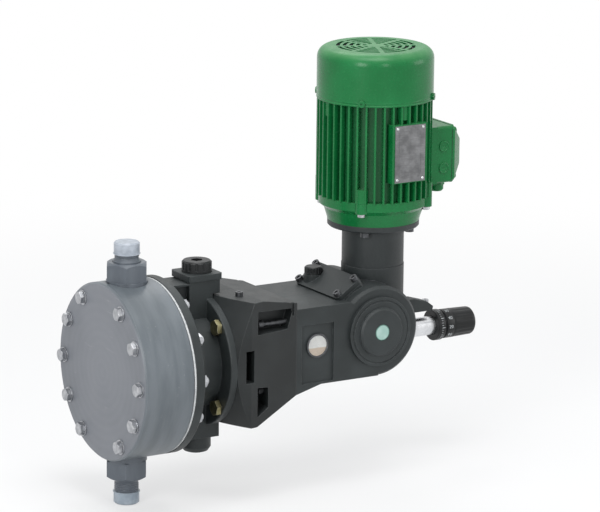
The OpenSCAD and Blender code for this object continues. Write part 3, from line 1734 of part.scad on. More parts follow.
module return_spring() color([0.6, 0.61, 0.63]) {
  free = bar_x - joint_x - nose_wall;
  along_x(joint_x + nose_wall) {
    linear_extrude(height = free, twist = -360 * spring_turns, slices = round(20 * spring_turns), $fn = 8)
      spring_section();
    for (z = [0, free - 1.5])
      translate([0, 0, z])
        ring(spring_r + spring_wire_r, spring_r - spring_wire_r, 1.5);
  }
}

// Stroke setting

module stroke_bush() color([0.78, 0.79, 0.8]) {
  along_x(bush_start_x)
    difference() {
      cylinder(r = spindle_r, h = bush_end_x - bush_start_x);
      translate([0, 0, -1])
        cylinder(r = stop_r + run_fit, h = 60);
      translate([0, 0, bush_wall_x - bush_start_x])
        cylinder(r = spindle_core_r + run_fit, h = 200);
    }
}

module lock_screw() color([0.5, 0.51, 0.53]) {
  translate([lock_x, 0, axis_h + 28])
    cap_screw(2, 9, 4, 4, 3);
}

module stop_pin() color([0.7, 0.71, 0.73]) {
  along_x(stop_x)
    rotate_extrude()
      polygon([[0, 0], [stop_r - 0.5, 0], [stop_r, 0.5], [stop_r, pin_head_x - stop_x],
          [spindle_core_r, pin_head_x - stop_x], [spindle_core_r, pin_head_x - stop_x + pin_head_l],
          [0, pin_head_x - stop_x + pin_head_l]]);
}

module stroke_spindle() color([0.7, 0.71, 0.73]) {
  along_x(pin_head_x + pin_head_l)
    cylinder(r = spindle_core_r, h = spindle_end_x - pin_head_x - pin_head_l);
}

module stroke_knob() color([0.07, 0.07, 0.08]) {
  hollow = bush_end_x - knob_x + stroke + 1;
  along_x(knob_x)
    difference() {
      rotate_extrude()
        polygon([[0, 0], [skirt_r, 0], [skirt_r, skirt_l - 2], [knob_r, skirt_l],
            [knob_end_r, knob_l - 5], [knob_end_r - 1.6, knob_l - 1.6],
            [knob_end_r - 5, knob_l], [0, knob_l]]);
      translate([0, 0, -1])
        cylinder(r = spindle_r + 0.3, h = hollow + 1);
      translate([0, 0, -1])
        cylinder(r = spindle_core_r + seat_fit, h = spindle_end_x - knob_x + 1);
    }
}

pump_head();
head_bolts();
head_washers();
head_nuts();
diaphragm();
support_plate();
hydraulic_chamber();
fill_plug();
chamber_bolts();
discharge_valve_body();
suction_valve_body();
discharge_ball();
suction_ball();
valve_seals();
union_nuts();
pipe_connectors();
port_caps();
lantern();
plunger_seals();
lantern_bolts();
gear_case();
rod_bush();
side_cover();
top_cover();
case_screws();
oil_filler_cap();
sight_glass();
sight_glass_ring();
oil_drain_plug();
gear_bearings();
pedestal();
flange_bolts();
drive_end_shield();
motor_frame();
stator_core();
stator_windings();
rear_end_shield();
motor_bearings();
shield_bolts();
fan_cover();
motor_screws();
data_plate();
terminal_box();
terminal_box_lid();
cable_gland();
rotor();
motor_shaft();
fan();
worm_shaft();
wheel_shaft();
worm_wheel();
yoke();
push_rod();
plunger();
return_spring();
stroke_bush();
lock_screw();
stop_pin();
stroke_spindle();
stroke_knob();
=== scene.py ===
import math

import bmesh
import bpy
import numpy as np
from mathutils import Matrix, Vector


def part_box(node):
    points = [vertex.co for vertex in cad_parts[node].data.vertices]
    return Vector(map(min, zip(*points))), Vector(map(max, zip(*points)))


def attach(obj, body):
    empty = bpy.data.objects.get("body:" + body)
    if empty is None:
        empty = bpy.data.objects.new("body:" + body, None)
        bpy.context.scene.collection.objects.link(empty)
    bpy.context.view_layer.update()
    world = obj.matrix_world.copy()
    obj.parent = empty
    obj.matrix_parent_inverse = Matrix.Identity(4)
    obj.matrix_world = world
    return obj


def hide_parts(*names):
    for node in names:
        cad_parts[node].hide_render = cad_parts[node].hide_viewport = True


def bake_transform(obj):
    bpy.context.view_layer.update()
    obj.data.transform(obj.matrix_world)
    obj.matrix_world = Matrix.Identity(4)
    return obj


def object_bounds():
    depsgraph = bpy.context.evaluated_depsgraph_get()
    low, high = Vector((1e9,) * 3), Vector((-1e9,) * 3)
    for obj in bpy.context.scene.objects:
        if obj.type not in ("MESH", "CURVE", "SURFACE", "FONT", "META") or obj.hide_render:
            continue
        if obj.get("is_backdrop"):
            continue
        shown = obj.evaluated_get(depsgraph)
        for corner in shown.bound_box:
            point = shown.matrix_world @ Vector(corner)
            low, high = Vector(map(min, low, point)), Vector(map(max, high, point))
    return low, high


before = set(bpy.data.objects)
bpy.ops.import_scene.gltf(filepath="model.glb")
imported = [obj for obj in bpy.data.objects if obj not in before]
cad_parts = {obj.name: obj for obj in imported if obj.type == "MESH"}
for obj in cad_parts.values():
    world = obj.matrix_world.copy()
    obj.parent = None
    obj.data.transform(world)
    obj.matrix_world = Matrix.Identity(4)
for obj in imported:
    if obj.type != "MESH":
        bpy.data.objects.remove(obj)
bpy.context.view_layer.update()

# Heights and stations of the pump in millimetres, in the frame of the model
PUMP_AXIS = 32.0
WHEEL_X, WHEEL_Z = 30.0, 52.0
MOTOR_X = 58.0
HEAD_FRONT = -294.0
MEMBRANE = -230.0
RIM_X = -164.0
JOINT_X = -79.0
VALVE_X = -263.0
PEDESTAL_SEAT = 117.0
MOTOR_FLANGE = 168.5
SHIELD_TOP = 198.5
COWL_FOOT = 309.5
COWL_TOP = 368.5
BOX_Z = 242.5
KNOB_X = 140.0
SIGHT_X, SIGHT_Z = WHEEL_X - 81.0, PUMP_AXIS + 13.0
CASE_SIDE = -60.0
HEAD_BOLT_RING, CHAMBER_BOLT_RING = 87.3, 65.0
LUG_RING, REAR_RING = 61.0, 58.0
M8_FLATS, M10_FLATS, M5_FLATS = 13.0, 16.0, 8.0
# From the pump's axis to the union nuts, and from there to the threads of the pipe connectors
VALVE_RING_END, UNION_AND_COLLAR = 91.0 + 10.5, 21.0 + 4.5
# The terminal box, from the motor's axis and from its own
BOX_SIDE, LID_JOINT = 40.0, 80.0

# Rays that see the plain white background; all others see the studio's soft light
BACKGROUND_RAYS = ("Is Camera Ray", "Is Glossy Ray", "Is Transmission Ray")

# Directions: the long axis of the pump, the side away from the viewer, and up; each frame's last
# row is the direction that a turned piece is built along
ALONG = np.array([[0.0, 1.0, 0.0], [0.0, 0.0, 1.0], [1.0, 0.0, 0.0]])
UPRIGHT = np.array([[1.0, 0.0, 0.0], [0.0, 1.0, 0.0], [0.0, 0.0, 1.0]])
TOWARDS_VIEWER = np.array([[1.0, 0.0, 0.0], [0.0, 0.0, 1.0], [0.0, -1.0, 0.0]])
BACKWARDS = np.array([ALONG[0], -ALONG[1], -ALONG[2]])
DOWNWARD = np.array([UPRIGHT[0], -UPRIGHT[1], -UPRIGHT[2]])


def placed(name, data):
    """A new object with this data, in the scene."""
    one = bpy.data.objects.new(name, data)
    bpy.context.scene.collection.objects.link(one)
    return one


# Camera

def photo_camera():
    """The photograph's camera: direction from azimuth and elevation, with a slight roll."""
    azimuth, elevation, roll = math.radians(-31.41), math.radians(13.39), math.radians(0.66)
    back = Vector((math.sin(azimuth) * math.cos(elevation),
                   -math.cos(azimuth) * math.cos(elevation), math.sin(elevation)))
    level = Vector((math.cos(azimuth), math.sin(azimuth), 0.0))
    up = back.cross(level)
    right = math.cos(roll) * level + math.sin(roll) * up
    upward = math.cos(roll) * up - math.sin(roll) * level
    data = bpy.data.cameras.new("photo_camera")
    data.lens = 245.08
    data.sensor_width = 36.0
    data.clip_start, data.clip_end = 0.05, 60.0
    camera = placed("photo_camera", data)
    turn = Matrix((right, upward, back)).transposed().to_4x4()
    camera.matrix_world = Matrix.Translation((-2.3830, -3.8382, 1.2053)) @ turn
    bpy.context.scene.camera = camera


photo_camera()


# Shader expressions

class Reading:
    """One output of a node, so that shader maths is written as plain expressions."""

    def __init__(self, finish, socket):
        self.finish = finish
        self.socket = socket

    def __add__(self, other):
        return self.finish.maths("ADD", self, other)

    def __radd__(self, other):
        return self.finish.maths("ADD", other, self)

    def __sub__(self, other):
        return self.finish.maths("SUBTRACT", self, other)

    def __rsub__(self, other):
        return self.finish.maths("SUBTRACT", other, self)

    def __mul__(self, other):
        return self.finish.maths("MULTIPLY", self, other)

    def __rmul__(self, other):
        return self.finish.maths("MULTIPLY", other, self)

    def __pow__(self, other):
        return self.finish.maths("POWER", self, other)

    def __abs__(self):
        return self.finish.maths("ABSOLUTE", self)

    def lower(self, other):
        return self.finish.maths("MINIMUM", self, other)

    def higher(self, other):
        return self.finish.maths("MAXIMUM", self, other)

    def wave(self):
        return self.finish.maths("SINE", self)

    def rises(self, start, end):
        """0 below start, 1 above end, an S curve between; start above end turns it round."""
        if start > end:
            return 1.0 - self.rises(end, start)
        return self.finish.node("ShaderNodeMapRange", {"interpolation_type": "SMOOTHSTEP"},
                                {0: self, 1: start, 2: end, 3: 0.0, 4: 1.0})


class Finish:
    """A surface finish or a world: its nodes, made through a few short calls."""

    def __init__(self, name, world=False):
        self.material = (bpy.data.worlds if world else bpy.data.materials).new(name)
        self.material.use_nodes = True
        self.tree = self.material.node_tree
        self.tree.nodes.clear()
        self.output = self.tree.nodes.new("ShaderNodeOutput" + ("World" if world else "Material"))
        self.at = self.node("ShaderNodeTexCoord", output="Object")
        self._xyz = None

    def node(self, kind, settings=None, sockets=None, output=0):
        """Adds a node, sets its settings first and then its sockets; gives back one output."""
        node = self.tree.nodes.new(kind)
        for key, value in (settings or {}).items():
            setattr(node, key, value)
        for key, value in (sockets or {}).items():
            if isinstance(value, Reading):
                self.tree.links.new(value.socket, node.inputs[key])
            else:
                node.inputs[key].default_value = value
        return Reading(self, node.outputs[output])

    def maths(self, operation, *values):
        return self.node("ShaderNodeMath", {"operation": operation}, dict(enumerate(values)))

    def blend(self, share, first, second):
        """Goes from the first colour to the second by share; each is a reading or three numbers."""
        first, second = (one if isinstance(one, Reading) else tone(*one) for one in (first, second))
        return self.node("ShaderNodeMix", {"data_type": "RGBA"},
                         {0: share, 6: first, 7: second}, 2)

    def xyz(self):
        """The three Object coordinates, in metres."""
        if self._xyz is None:
            first = self.node("ShaderNodeSeparateXYZ", None, {0: self.at})
            self._xyz = [Reading(self, s) for s in first.socket.node.outputs]
        return self._xyz

    def moved(self, size, turn=(0, 0, 0)):
        """Object coordinates, turned and stretched for a pattern."""
        return self.node("ShaderNodeMapping", None,
                         {"Vector": self.at, "Rotation": turn, "Scale": size})

    def grain(self, per_metre, detail=3.0, roughness=0.55, at=None):
        """Soft noise from 0 to 1, with about per_metre grains to the metre."""
        return self.node("ShaderNodeTexNoise", None,
                         {"Vector": at or self.at, "Scale": per_metre, "Detail": detail,
                          "Roughness": roughness})

    def cells(self, per_metre):
        """Distance to the nearest point of a scatter."""
        return self.node("ShaderNodeTexVoronoi", None,
                         {"Vector": self.at, "Scale": per_metre}, "Distance")

    def radius(self, axis, first, second):
        """Distance in metres from a line along axis that passes through (first, second) mm."""
        x, y, z = self.xyz()
        a, b = {"x": (y, z), "y": (x, z), "z": (x, y)}[axis]
        a, b = a - first * 0.001, b - second * 0.001
        return (a * a + b * b) ** 0.5

    def facing_up(self):
        """Upright part of the surface's normal, from -1 to 1."""
        normal = self.node("ShaderNodeNewGeometry", output="Normal")
        return self.node("ShaderNodeSeparateXYZ", None, {0: normal}, 2)

    def rounded(self, radius):
        """The normal with corners rounded off at this radius in metres."""
        return self.node("ShaderNodeBevel", {"samples": 4}, {"Radius": radius})

    def corners(self, rounded, gain):
        """0 on flat places and up to 1 where the rounded normal leaves the true one."""
        flat = self.node("ShaderNodeNewGeometry", output="Normal")
        same = self.node("ShaderNodeVectorMath", {"operation": "DOT_PRODUCT"},
                         {0: rounded, 1: flat}, "Value")
        return ((1.0 - same) * gain).lower(1.0)

    def relief(self, height, depth, normal=None):
        """A bump of this depth in metres from a height between 0 and 1."""
        sockets = {"Height": height, "Distance": depth, "Strength": 1.0}
        if normal is not None:
            sockets["Normal"] = normal
        return self.node("ShaderNodeBump", None, sockets)

    def ray(self, *kinds):
        """1 for a ray of any of these kinds, else 0."""
        path = self.tree.nodes.new("ShaderNodeLightPath")
        found, *others = [Reading(self, path.outputs[kind]) for kind in kinds]
        for other in others:
            found = found.higher(other)
        return found

    def softened(self, radius, gain):
        """The rounded normal, and the share of rubbed corner that goes with it."""
        soft = self.rounded(radius)
        return soft, self.corners(soft, gain)

    def done(self, colour, roughness, normal=None, metallic=0.0, **uniform):
        """Puts readings and uniform values on the surface shader; gives back the material."""
        sockets = {"Base Color": colour, "Roughness": roughness, "Metallic": metallic}
        sockets.update({key.replace("_", " "): value for key, value in uniform.items()})
        if normal is not None:
            sockets["Normal"] = normal
        return self.shows(self.node("ShaderNodeBsdfPrincipled", None, sockets))

    def shows(self, shader):
        """Puts a shader on the output; gives back the material."""
        self.tree.links.new(shader.socket, self.output.inputs["Surface"])
        return self.material


def tone(red, green, blue):
    """Three numbers as an opaque colour."""
    return (red, green, blue, 1.0)


# Finishes

def slate_paint(name, tone_and_painted_shade=1.0, parting=True, machined_x=None):
    """Satin slate paint on a sand casting: soft patches, cast grain, paler corners, and settled
    dust with painted top light on upward faces.
    """
    f = Finish(name)
    patches = f.grain(14, 3)
    pores = f.grain(620, 4, 0.6)
    sand = f.grain(1700, 2)
    soft, corner = f.softened(0.0012, 3.2)
    x, y = f.xyz()[:2]
    dark = (0.017 * tone_and_painted_shade, 0.021 * tone_and_painted_shade, 0.0215 * tone_and_painted_shade)
    pale = (0.029 * tone_and_painted_shade, 0.035 * tone_and_painted_shade, 0.0360 * tone_and_painted_shade)
    base = f.blend(patches.rises(0.34, 0.68), dark, pale)
    base = f.blend(pores.rises(0.62, 0.78) * 0.35, base, (0.055, 0.062, 0.064))
    # Paler upward faces: settled dust in patches, plus painted top light over every upward face
    dust_and_top_light = f.facing_up().rises(0.25, 1.0) * (f.grain(55, 4).rises(0.3, 0.75) * 0.5 + 0.25)
    base = f.blend(dust_and_top_light * 0.3, base, (0.075, 0.082, 0.083))
    rubbed = corner * (f.grain(240, 3).rises(0.35, 0.7) * 0.7 + 0.2)
    base = f.blend(rubbed, base, (0.105, 0.115, 0.118))
    height = pores * 0.6 + sand * 0.4
    if parting:
        ridge = (abs(y) + (f.grain(120) - 0.5) * 0.0006).rises(0.0009, 0.0002)
        height = height + ridge * 1.4
    if machined_x:
        planed = (abs(x - machined_x * 0.001)).rises(0.0012, 0.0004)
        base = f.blend(planed * 0.6, base, (0.02, 0.022, 0.023))
    return f.done(base, pores * 0.18 + 0.36 + dust_and_top_light * 0.2,
                  f.relief(height, 0.00028, soft), Specular_IOR_Level=0.34)


def green_enamel(name, fin_root_shade=None, dust_and_top_light=0.5, weld=None):
    """Glossy green enamel with a faint orange peel, painted shade between the fins, settled dust
    with painted top light on upward faces, paler at corners.
    """
    f = Finish(name)
    peel = f.grain(330, 2, 0.4)
    fine = f.grain(1300, 2)
    patches = f.grain(18, 2)
    soft, corner = f.softened(0.0007, 2.6)
    base = f.blend(patches.rises(0.3, 0.7), (0.004, 0.122, 0.030), (0.007, 0.150, 0.040))
    if fin_root_shade:
        # Painted shade between the fins: darker towards the fin roots, near the motor's axis
        depth = f.radius("z", MOTOR_X, 0.0).rises(fin_root_shade[1] * 0.001, fin_root_shade[0] * 0.001)
        base = f.blend(depth * 0.5, base, (0.005, 0.062, 0.022))
    # Paler upward faces: settled dust plus painted top light, strongest on the fan cover
    top_light_and_dust_layer = f.facing_up().rises(0.2, 1.0) * dust_and_top_light
    patchy_dust_and_top_light = top_light_and_dust_layer * (f.grain(70, 4).rises(0.25, 0.8) * 0.6 + 0.4)
    base = f.blend(patchy_dust_and_top_light, base, (0.070, 0.235, 0.090))
    base = f.blend(corner * 0.5, base, (0.030, 0.260, 0.090))
    chips = f.cells(95).rises(0.045, 0.03) * corner.rises(0.3, 0.6)
    base = f.blend(chips, base, (0.09, 0.10, 0.095))
    height = peel * 0.8 + fine * 0.2
    if weld:
        bead = abs(f.xyz()[2] - weld * 0.001).rises(0.0011, 0.0002)
        height = height + bead * 5.0
    return f.done(base, peel * 0.12 + 0.20 + top_light_and_dust_layer * 0.22,
                  f.relief(height, 0.00006, soft),
                  Specular_IOR_Level=0.24, Coat_Weight=0.05, Coat_Roughness=0.12)


def turned_plastic(name):
    """Machined grey plastic: turning rings on the face, sawn lines round the rim, painted shade on
    the rim's side, scratches.
    """
    f = Finish(name)
    x = f.xyz()[0]
    out = f.radius("x", 0.0, PUMP_AXIS)
    wobble = f.grain(30, 2) * 0.0008
    rings = ((out + wobble) * 5200.0).wave() * 0.5 + 0.5
    wide = ((out + wobble) * 610.0).wave() * 0.5 + 0.5
    rim = out.rises(0.0975, 0.0993)
    lines = (x * 3900.0 + f.grain(25, 2) * 6.0).wave() * 0.5 + 0.5
    slanted = f.moved(size=(1.0, 0.12, 1.0), turn=(0.6, 0.0, 0.3))
    scratch = f.grain(260, 5, 0.7, slanted).rises(0.64, 0.72)
    soft, corner = f.softened(0.0006, 3.0)
    face = f.blend(f.grain(9, 3).rises(0.3, 0.7), (0.140, 0.150, 0.168), (0.172, 0.182, 0.202))
    face = f.blend(wide * 0.12, face, (0.27, 0.28, 0.30))
    # The side round the rim is darker than the face: painted shade on the head's side
    side = f.blend(f.grain(12, 3, at=f.moved(size=(6.0, 1.0, 1.0))).rises(0.3, 0.7),
                   (0.092, 0.108, 0.120), (0.130, 0.148, 0.163))
    base = f.blend(rim, face, side)
    base = f.blend(scratch * 0.35, base, (0.34, 0.35, 0.37))
    base = f.blend(corner * 0.6, base, (0.36, 0.38, 0.41))
    height = rings * (1.0 - rim) * 0.5 + lines * rim * 0.7 + scratch * 0.4
    rough = f.grain(40, 3) * 0.12 + 0.36 + wide * (1.0 - rim) * 0.05
    return f.done(base, rough, f.relief(height, 0.00003, soft))


def moulded_grey(name):
    """Moulded grey plastic of the fittings: satin, with flow marks and rubbed corners."""
    f = Finish(name)
    flow = f.grain(60, 4, at=f.moved(size=(1.0, 1.0, 0.25)))
    fine = f.grain(1500, 2)
    soft, corner = f.softened(0.0006, 3.0)
    base = f.blend(flow.rises(0.3, 0.7), (0.075, 0.088, 0.105), (0.108, 0.124, 0.143))
    base = f.blend(corner * 0.6, base, (0.27, 0.29, 0.32))
    return f.done(base, flow * 0.14 + 0.30, f.relief(fine * 0.5 + flow * 0.5, 0.00005, soft))


def plated(name, low, high, rough=0.26, stain=0.3, stain_tone=(0.25, 0.23, 0.20)):
    """Plated or ground steel: small stains, draw marks and softened corners."""
    f = Finish(name)
    cloud = f.grain(160, 4, 0.6)
    draw = f.grain(900, 2, at=f.moved(size=(0.12, 1.0, 1.0)))
    soft, corner = f.softened(0.0004, 3.0)
    base = f.blend(cloud.rises(0.3, 0.7), low, high)
    base = f.blend(f.grain(420, 3).rises(0.62, 0.75) * stain, base, stain_tone)
    base = f.blend(corner * 0.5, base, (0.86, 0.87, 0.88))
    return f.done(base, cloud * 0.16 + rough + draw * 0.06,
                  f.relief(draw * 0.6 + cloud * 0.4, 0.00002, soft), 1.0)


def ground_shaft(name, axis, per_metre=2600.0, low=(0.50, 0.51, 0.52), high=(0.66, 0.67, 0.69)):
    """Ground round steel: fine rings across the axis, a little oil."""
    f = Finish(name)
    along = f.xyz()["xyz".index(axis)]
    rings = (along * per_metre * 6.2832 + f.grain(90, 2) * 5.0).wave() * 0.5 + 0.5
    oil = f.grain(70, 4, 0.6)
    soft = f.rounded(0.0003)
    base = f.blend(oil.rises(0.3, 0.75), low, high)
    base = f.blend(rings * 0.15, base, (0.36, 0.37, 0.38))
    return f.done(base, oil * 0.14 + 0.16 + rings * 0.05, f.relief(rings, 0.000012, soft), 1.0)


def black_oxide(name):
    """Blackened steel screws: near black, oiled, with bare steel showing at the corners."""
    f = Finish(name)
    cloud = f.grain(240, 4, 0.6)
    soft, corner = f.softened(0.0004, 3.0)
    base = f.blend(cloud.rises(0.3, 0.7), (0.055, 0.058, 0.062), (0.105, 0.108, 0.115))
    base = f.blend(corner * 0.65, base, (0.42, 0.42, 0.43))
    return f.done(base, cloud * 0.2 + 0.3, f.relief(cloud, 0.00003, soft), 0.85)


def black_moulding(name, shine=0.36):
    """Black moulded plastic: fine spark texture, faint grey rub on corners, a little dust."""
    f = Finish(name)
    spark = f.grain(1900, 3, 0.6)
    cloud = f.grain(40, 3)
    soft, corner = f.softened(0.0006, 2.6)
    base = f.blend(cloud.rises(0.3, 0.7), (0.005, 0.0056, 0.006), (0.010, 0.0115, 0.012))
    base = f.blend(corner * 0.6, base, (0.075, 0.08, 0.083))
    base = f.blend(f.facing_up().rises(0.3, 1.0) * f.grain(120, 4).rises(0.35, 0.75) * 0.4, base,
                   (0.035, 0.038, 0.040))
    return f.done(base, spark * 0.16 + shine, f.relief(spark, 0.00004, soft),
                  Specular_IOR_Level=0.3)


def pale_ptfe(name):
    """White diaphragm edge: milky, with grey handling marks round the rim."""
    f = Finish(name)
    marks = f.grain(110, 4, 0.65)
    fine = f.grain(900, 2)
    soft = f.rounded(0.0003)
    base = f.blend(marks.rises(0.45, 0.7), (0.62, 0.63, 0.63), (0.44, 0.46, 0.47))
    return f.done(base, marks * 0.2 + 0.4, f.relief(fine, 0.00003, soft))


def seal_rubber(name):
    """Black seal rubber with a matt bloom."""
    f = Finish(name)
    bloom = f.grain(210, 4, 0.6)
    fine = f.grain(2300, 2)
    base = f.blend(bloom.rises(0.4, 0.7), (0.012, 0.012, 0.013), (0.032, 0.032, 0.033))
    return f.done(base, bloom * 0.2 + 0.58, f.relief(fine, 0.00003, f.rounded(0.0003)))


def thin_caps(name):
    """Thin push-on caps, slightly see-through: the upper one milky, the lower one blue grey."""
    f = Finish(name)
    z = f.xyz()[2]
    flow = f.grain(130, 3)
    soft = f.rounded(0.0005)
    upper = f.blend(flow.rises(0.3, 0.7), (0.34, 0.38, 0.43), (0.50, 0.54, 0.60))
    lower = f.blend(flow.rises(0.3, 0.7), (0.30, 0.36, 0.42), (0.44, 0.50, 0.56))
    base = f.blend(z.rises(0.0, 0.05), lower, upper)
    base = f.blend(f.corners(soft, 2.4) * 0.5, base, (0.9, 0.92, 0.94))
    return f.done(base, flow * 0.16 + 0.26,
                  f.relief(flow, 0.0001, soft), Transmission_Weight=0.22, IOR=1.46)


def clear_lens(name):
    """Clear sight glass with a trace of film."""
    f = Finish(name)
    film = f.grain(180, 3)
    base = f.blend(film.rises(0.5, 0.8) * 0.3, (0.96, 0.98, 0.98), (0.86, 0.88, 0.86))
    return f.done(base, film * 0.06 + 0.01, Transmission_Weight=1.0, IOR=1.47)


def brushed_plate(name):
    """Bare brushed aluminium: long fine lines along the plate, cloudy oxide, dull patches."""
    f = Finish(name)
    lines = f.grain(1500, 3, 0.6, f.moved(size=(0.05, 1.0, 1.0)))
    cloud = f.grain(75, 4, 0.6)
    base = f.blend(cloud.rises(0.3, 0.72), (0.13, 0.132, 0.135), (0.24, 0.242, 0.247))
    base = f.blend(lines.rises(0.45, 0.75) * 0.4, base, (0.095, 0.097, 0.10))
    return f.done(base, lines * 0.22 + 0.32, f.relief(lines, 0.00003, f.rounded(0.0002)), 0.75)


def bronze_metal(name, axis="y"):
    """Gear bronze: turned rings, polished flanks and brown oil in the hollows."""
    f = Finish(name)
    along = f.xyz()["xyz".index(axis)]
    rings = (along * 9000.0).wave() * 0.5 + 0.5
    oil = f.grain(150, 4, 0.6)
    base = f.blend(oil.rises(0.35, 0.75), (0.62, 0.40, 0.15), (0.34, 0.20, 0.07))
    return f.done(base, oil * 0.22 + 0.22 + rings * 0.05,
                  f.relief(rings, 0.00001, f.rounded(0.0003)), 1.0)


def stacked_sheet(name):
    """Stator and rotor packs: half millimetre sheets stacked along the motor's axis."""
    f = Finish(name)
    z = f.xyz()[2]
    sheets = (z * 12566.0).wave() * 0.5 + 0.5
    varnish = f.grain(90, 4)
    base = f.blend(sheets.rises(0.3, 0.7), (0.10, 0.10, 0.105), (0.34, 0.34, 0.35))
    base = f.blend(varnish.rises(0.5, 0.75) * 0.5, base, (0.16, 0.09, 0.04))
    return f.done(base, sheets * 0.1 + 0.38, f.relief(sheets, 0.00008), 0.8)


def wound_wire(name):
    """Varnished copper windings: round wires side by side round the motor's axis."""
    f = Finish(name)
    out = f.radius("z", MOTOR_X, 0.0)
    z = f.xyz()[2]
    wires = ((out + z * 0.7) * 7400.0).wave() * 0.5 + 0.5
    varnish = f.grain(110, 4)
    base = f.blend(wires, (0.14, 0.045, 0.015), (0.52, 0.22, 0.09))
    base = f.blend(varnish.rises(0.5, 0.8) * 0.6, base, (0.22, 0.09, 0.03))
    return f.done(base, varnish * 0.2 + 0.22, f.relief(wires, 0.00025), 0.55)


def cast_metal(name, low, high, metallic=0.9):
    """Bare cast metal with pitted skin."""
    f = Finish(name)
    pits = f.cells(480)
    cloud = f.grain(60, 4)
    base = f.blend(cloud.rises(0.3, 0.7), low, high)
    return f.done(base, cloud * 0.2 + 0.36, f.relief(pits, 0.00012, f.rounded(0.0006)), metallic)


def white_reflector(name):
    """White reflector of the oil sight: enamel with a fine cast and an oil film low down."""
    f = Finish(name)
    z = f.xyz()[2]
    film = (z + (f.grain(200) - 0.5) * 0.0012).rises(0.0432, 0.0418)
    cast = f.grain(300, 3).rises(0.4, 0.8)
    base = f.blend(cast * 0.3, (0.83, 0.81, 0.79), (0.68, 0.64, 0.61))
    base = f.blend(film * 0.75, base, (0.62, 0.44, 0.30))
    return f.done(base, f.grain(150) * 0.1 + 0.2, f.relief(f.grain(700), 0.00003))


def pale_disc(name):
    """Plain anodised disc in the side cover: pale grey green, finely turned, nothing printed, with
    painted shade at its rim.
    """
    f = Finish(name)
    out = f.radius("y", WHEEL_X, WHEEL_Z)
    rings = (out * 16000.0).wave() * 0.5 + 0.5
    cloud = f.grain(120, 3)
    base = f.blend(cloud.rises(0.3, 0.7), (0.30, 0.47, 0.42), (0.40, 0.56, 0.51))
    # Painted shade: a dark band round the rim
    base = f.blend(out.rises(0.0078, 0.0085), base, (0.10, 0.22, 0.18))
    return f.done(base, cloud * 0.15 + 0.28, f.relief(rings, 0.00001, f.rounded(0.0003)), 0.25)


def print_pale(name):
    """Pale print of the stroke scale, slightly rubbed."""
    f = Finish(name)
    rub = f.grain(600, 4, 0.7)
    base = f.blend(rub.rises(0.45, 0.75), (0.52, 0.54, 0.55), (0.24, 0.26, 0.27))
    return f.done(base, rub * 0.2 + 0.4, f.relief(rub, 0.00002))


def fibre_gasket(name):
    """Dark fibre gasket edge at a joint of two castings."""
    f = Finish(name)
    fibre = f.grain(1400, 4, 0.7)
    base = f.blend(fibre.rises(0.35, 0.7), (0.010, 0.011, 0.012), (0.030, 0.032, 0.033))
    return f.done(base, fibre * 0.2 + 0.6, f.relief(fibre, 0.0001))


SLATE = slate_paint("slate_paint")
# The lantern's slate paint at half brightness: painted shade from the pump head in front of it
SLATE_SHADED_LANTERN = slate_paint("slate_paint_lantern_painted_shade", 0.5, True, JOINT_X)
SLATE_COVERS = slate_paint("slate_paint_covers", 0.94, False)
SLATE_PEDESTAL = slate_paint("slate_paint_pedestal", 0.92, False)
GREEN = green_enamel("green_enamel")
GREEN_FINS = green_enamel("green_enamel_fins", (57.5, 63.0), 0.35)
# Fan cover: the strongest dust and painted top light on its upward faces
GREEN_COWL = green_enamel("green_enamel_fan_cover", None, 0.85, 313.5)
GREY_HEAD = turned_plastic("turned_grey_plastic")
GREY_FITTING = moulded_grey("moulded_grey_plastic")
ZINC = plated("bright_zinc", (0.34, 0.35, 0.37), (0.52, 0.53, 0.55), 0.24, 0.35)
YELLOW_ZINC = plated("yellow_zinc", (0.20, 0.18, 0.09), (0.34, 0.31, 0.18), 0.30, 0.6,
                     (0.08, 0.075, 0.045))
BLACK_STEEL = black_oxide("black_oxide_steel")
BLACK_PLASTIC = black_moulding("black_moulded_plastic")
BLACK_KNOB = black_moulding("black_knob_plastic", 0.30)
PTFE = pale_ptfe("white_ptfe")
RUBBER = seal_rubber("seal_rubber")
CAPS = thin_caps("thin_port_caps")
LENS = clear_lens("clear_sight_glass")
PLATE = brushed_plate("brushed_aluminium")
STEEL = plated("ground_steel", (0.50, 0.51, 0.52), (0.64, 0.65, 0.67), 0.22, 0.15)
SLEEVE = ground_shaft("ground_sleeve", "x", 2100.0, (0.62, 0.63, 0.65), (0.80, 0.81, 0.83))
ROD_STEEL = ground_shaft("ground_rod", "x")
SHAFT_STEEL = ground_shaft("ground_motor_shaft", "z")
WHEEL_STEEL = ground_shaft("ground_wheel_shaft", "y")
BEARING_STEEL = plated("bearing_steel", (0.58, 0.59, 0.61), (0.72, 0.73, 0.75), 0.12, 0.1)
BRONZE = bronze_metal("gear_bronze")
BUSH_BRONZE = bronze_metal("bush_bronze", "x")
SHEETS = stacked_sheet("stacked_sheet_steel")
WINDINGS = wound_wire("varnished_windings")
ROTOR_METAL = cast_metal("cast_rotor", (0.40, 0.40, 0.41), (0.58, 0.58, 0.59))
YOKE_IRON = cast_metal("machined_iron", (0.10, 0.10, 0.105), (0.19, 0.19, 0.195), 0.7)
SPRING_STEEL = plated("oiled_spring_steel", (0.26, 0.26, 0.27), (0.42, 0.42, 0.44), 0.26, 0.4)
REFLECTOR = white_reflector("white_sight_reflector")
DISC = pale_disc("plain_cover_disc")
PRINT = print_pale("stroke_scale_print")
GASKET = fibre_gasket("fibre_gasket")

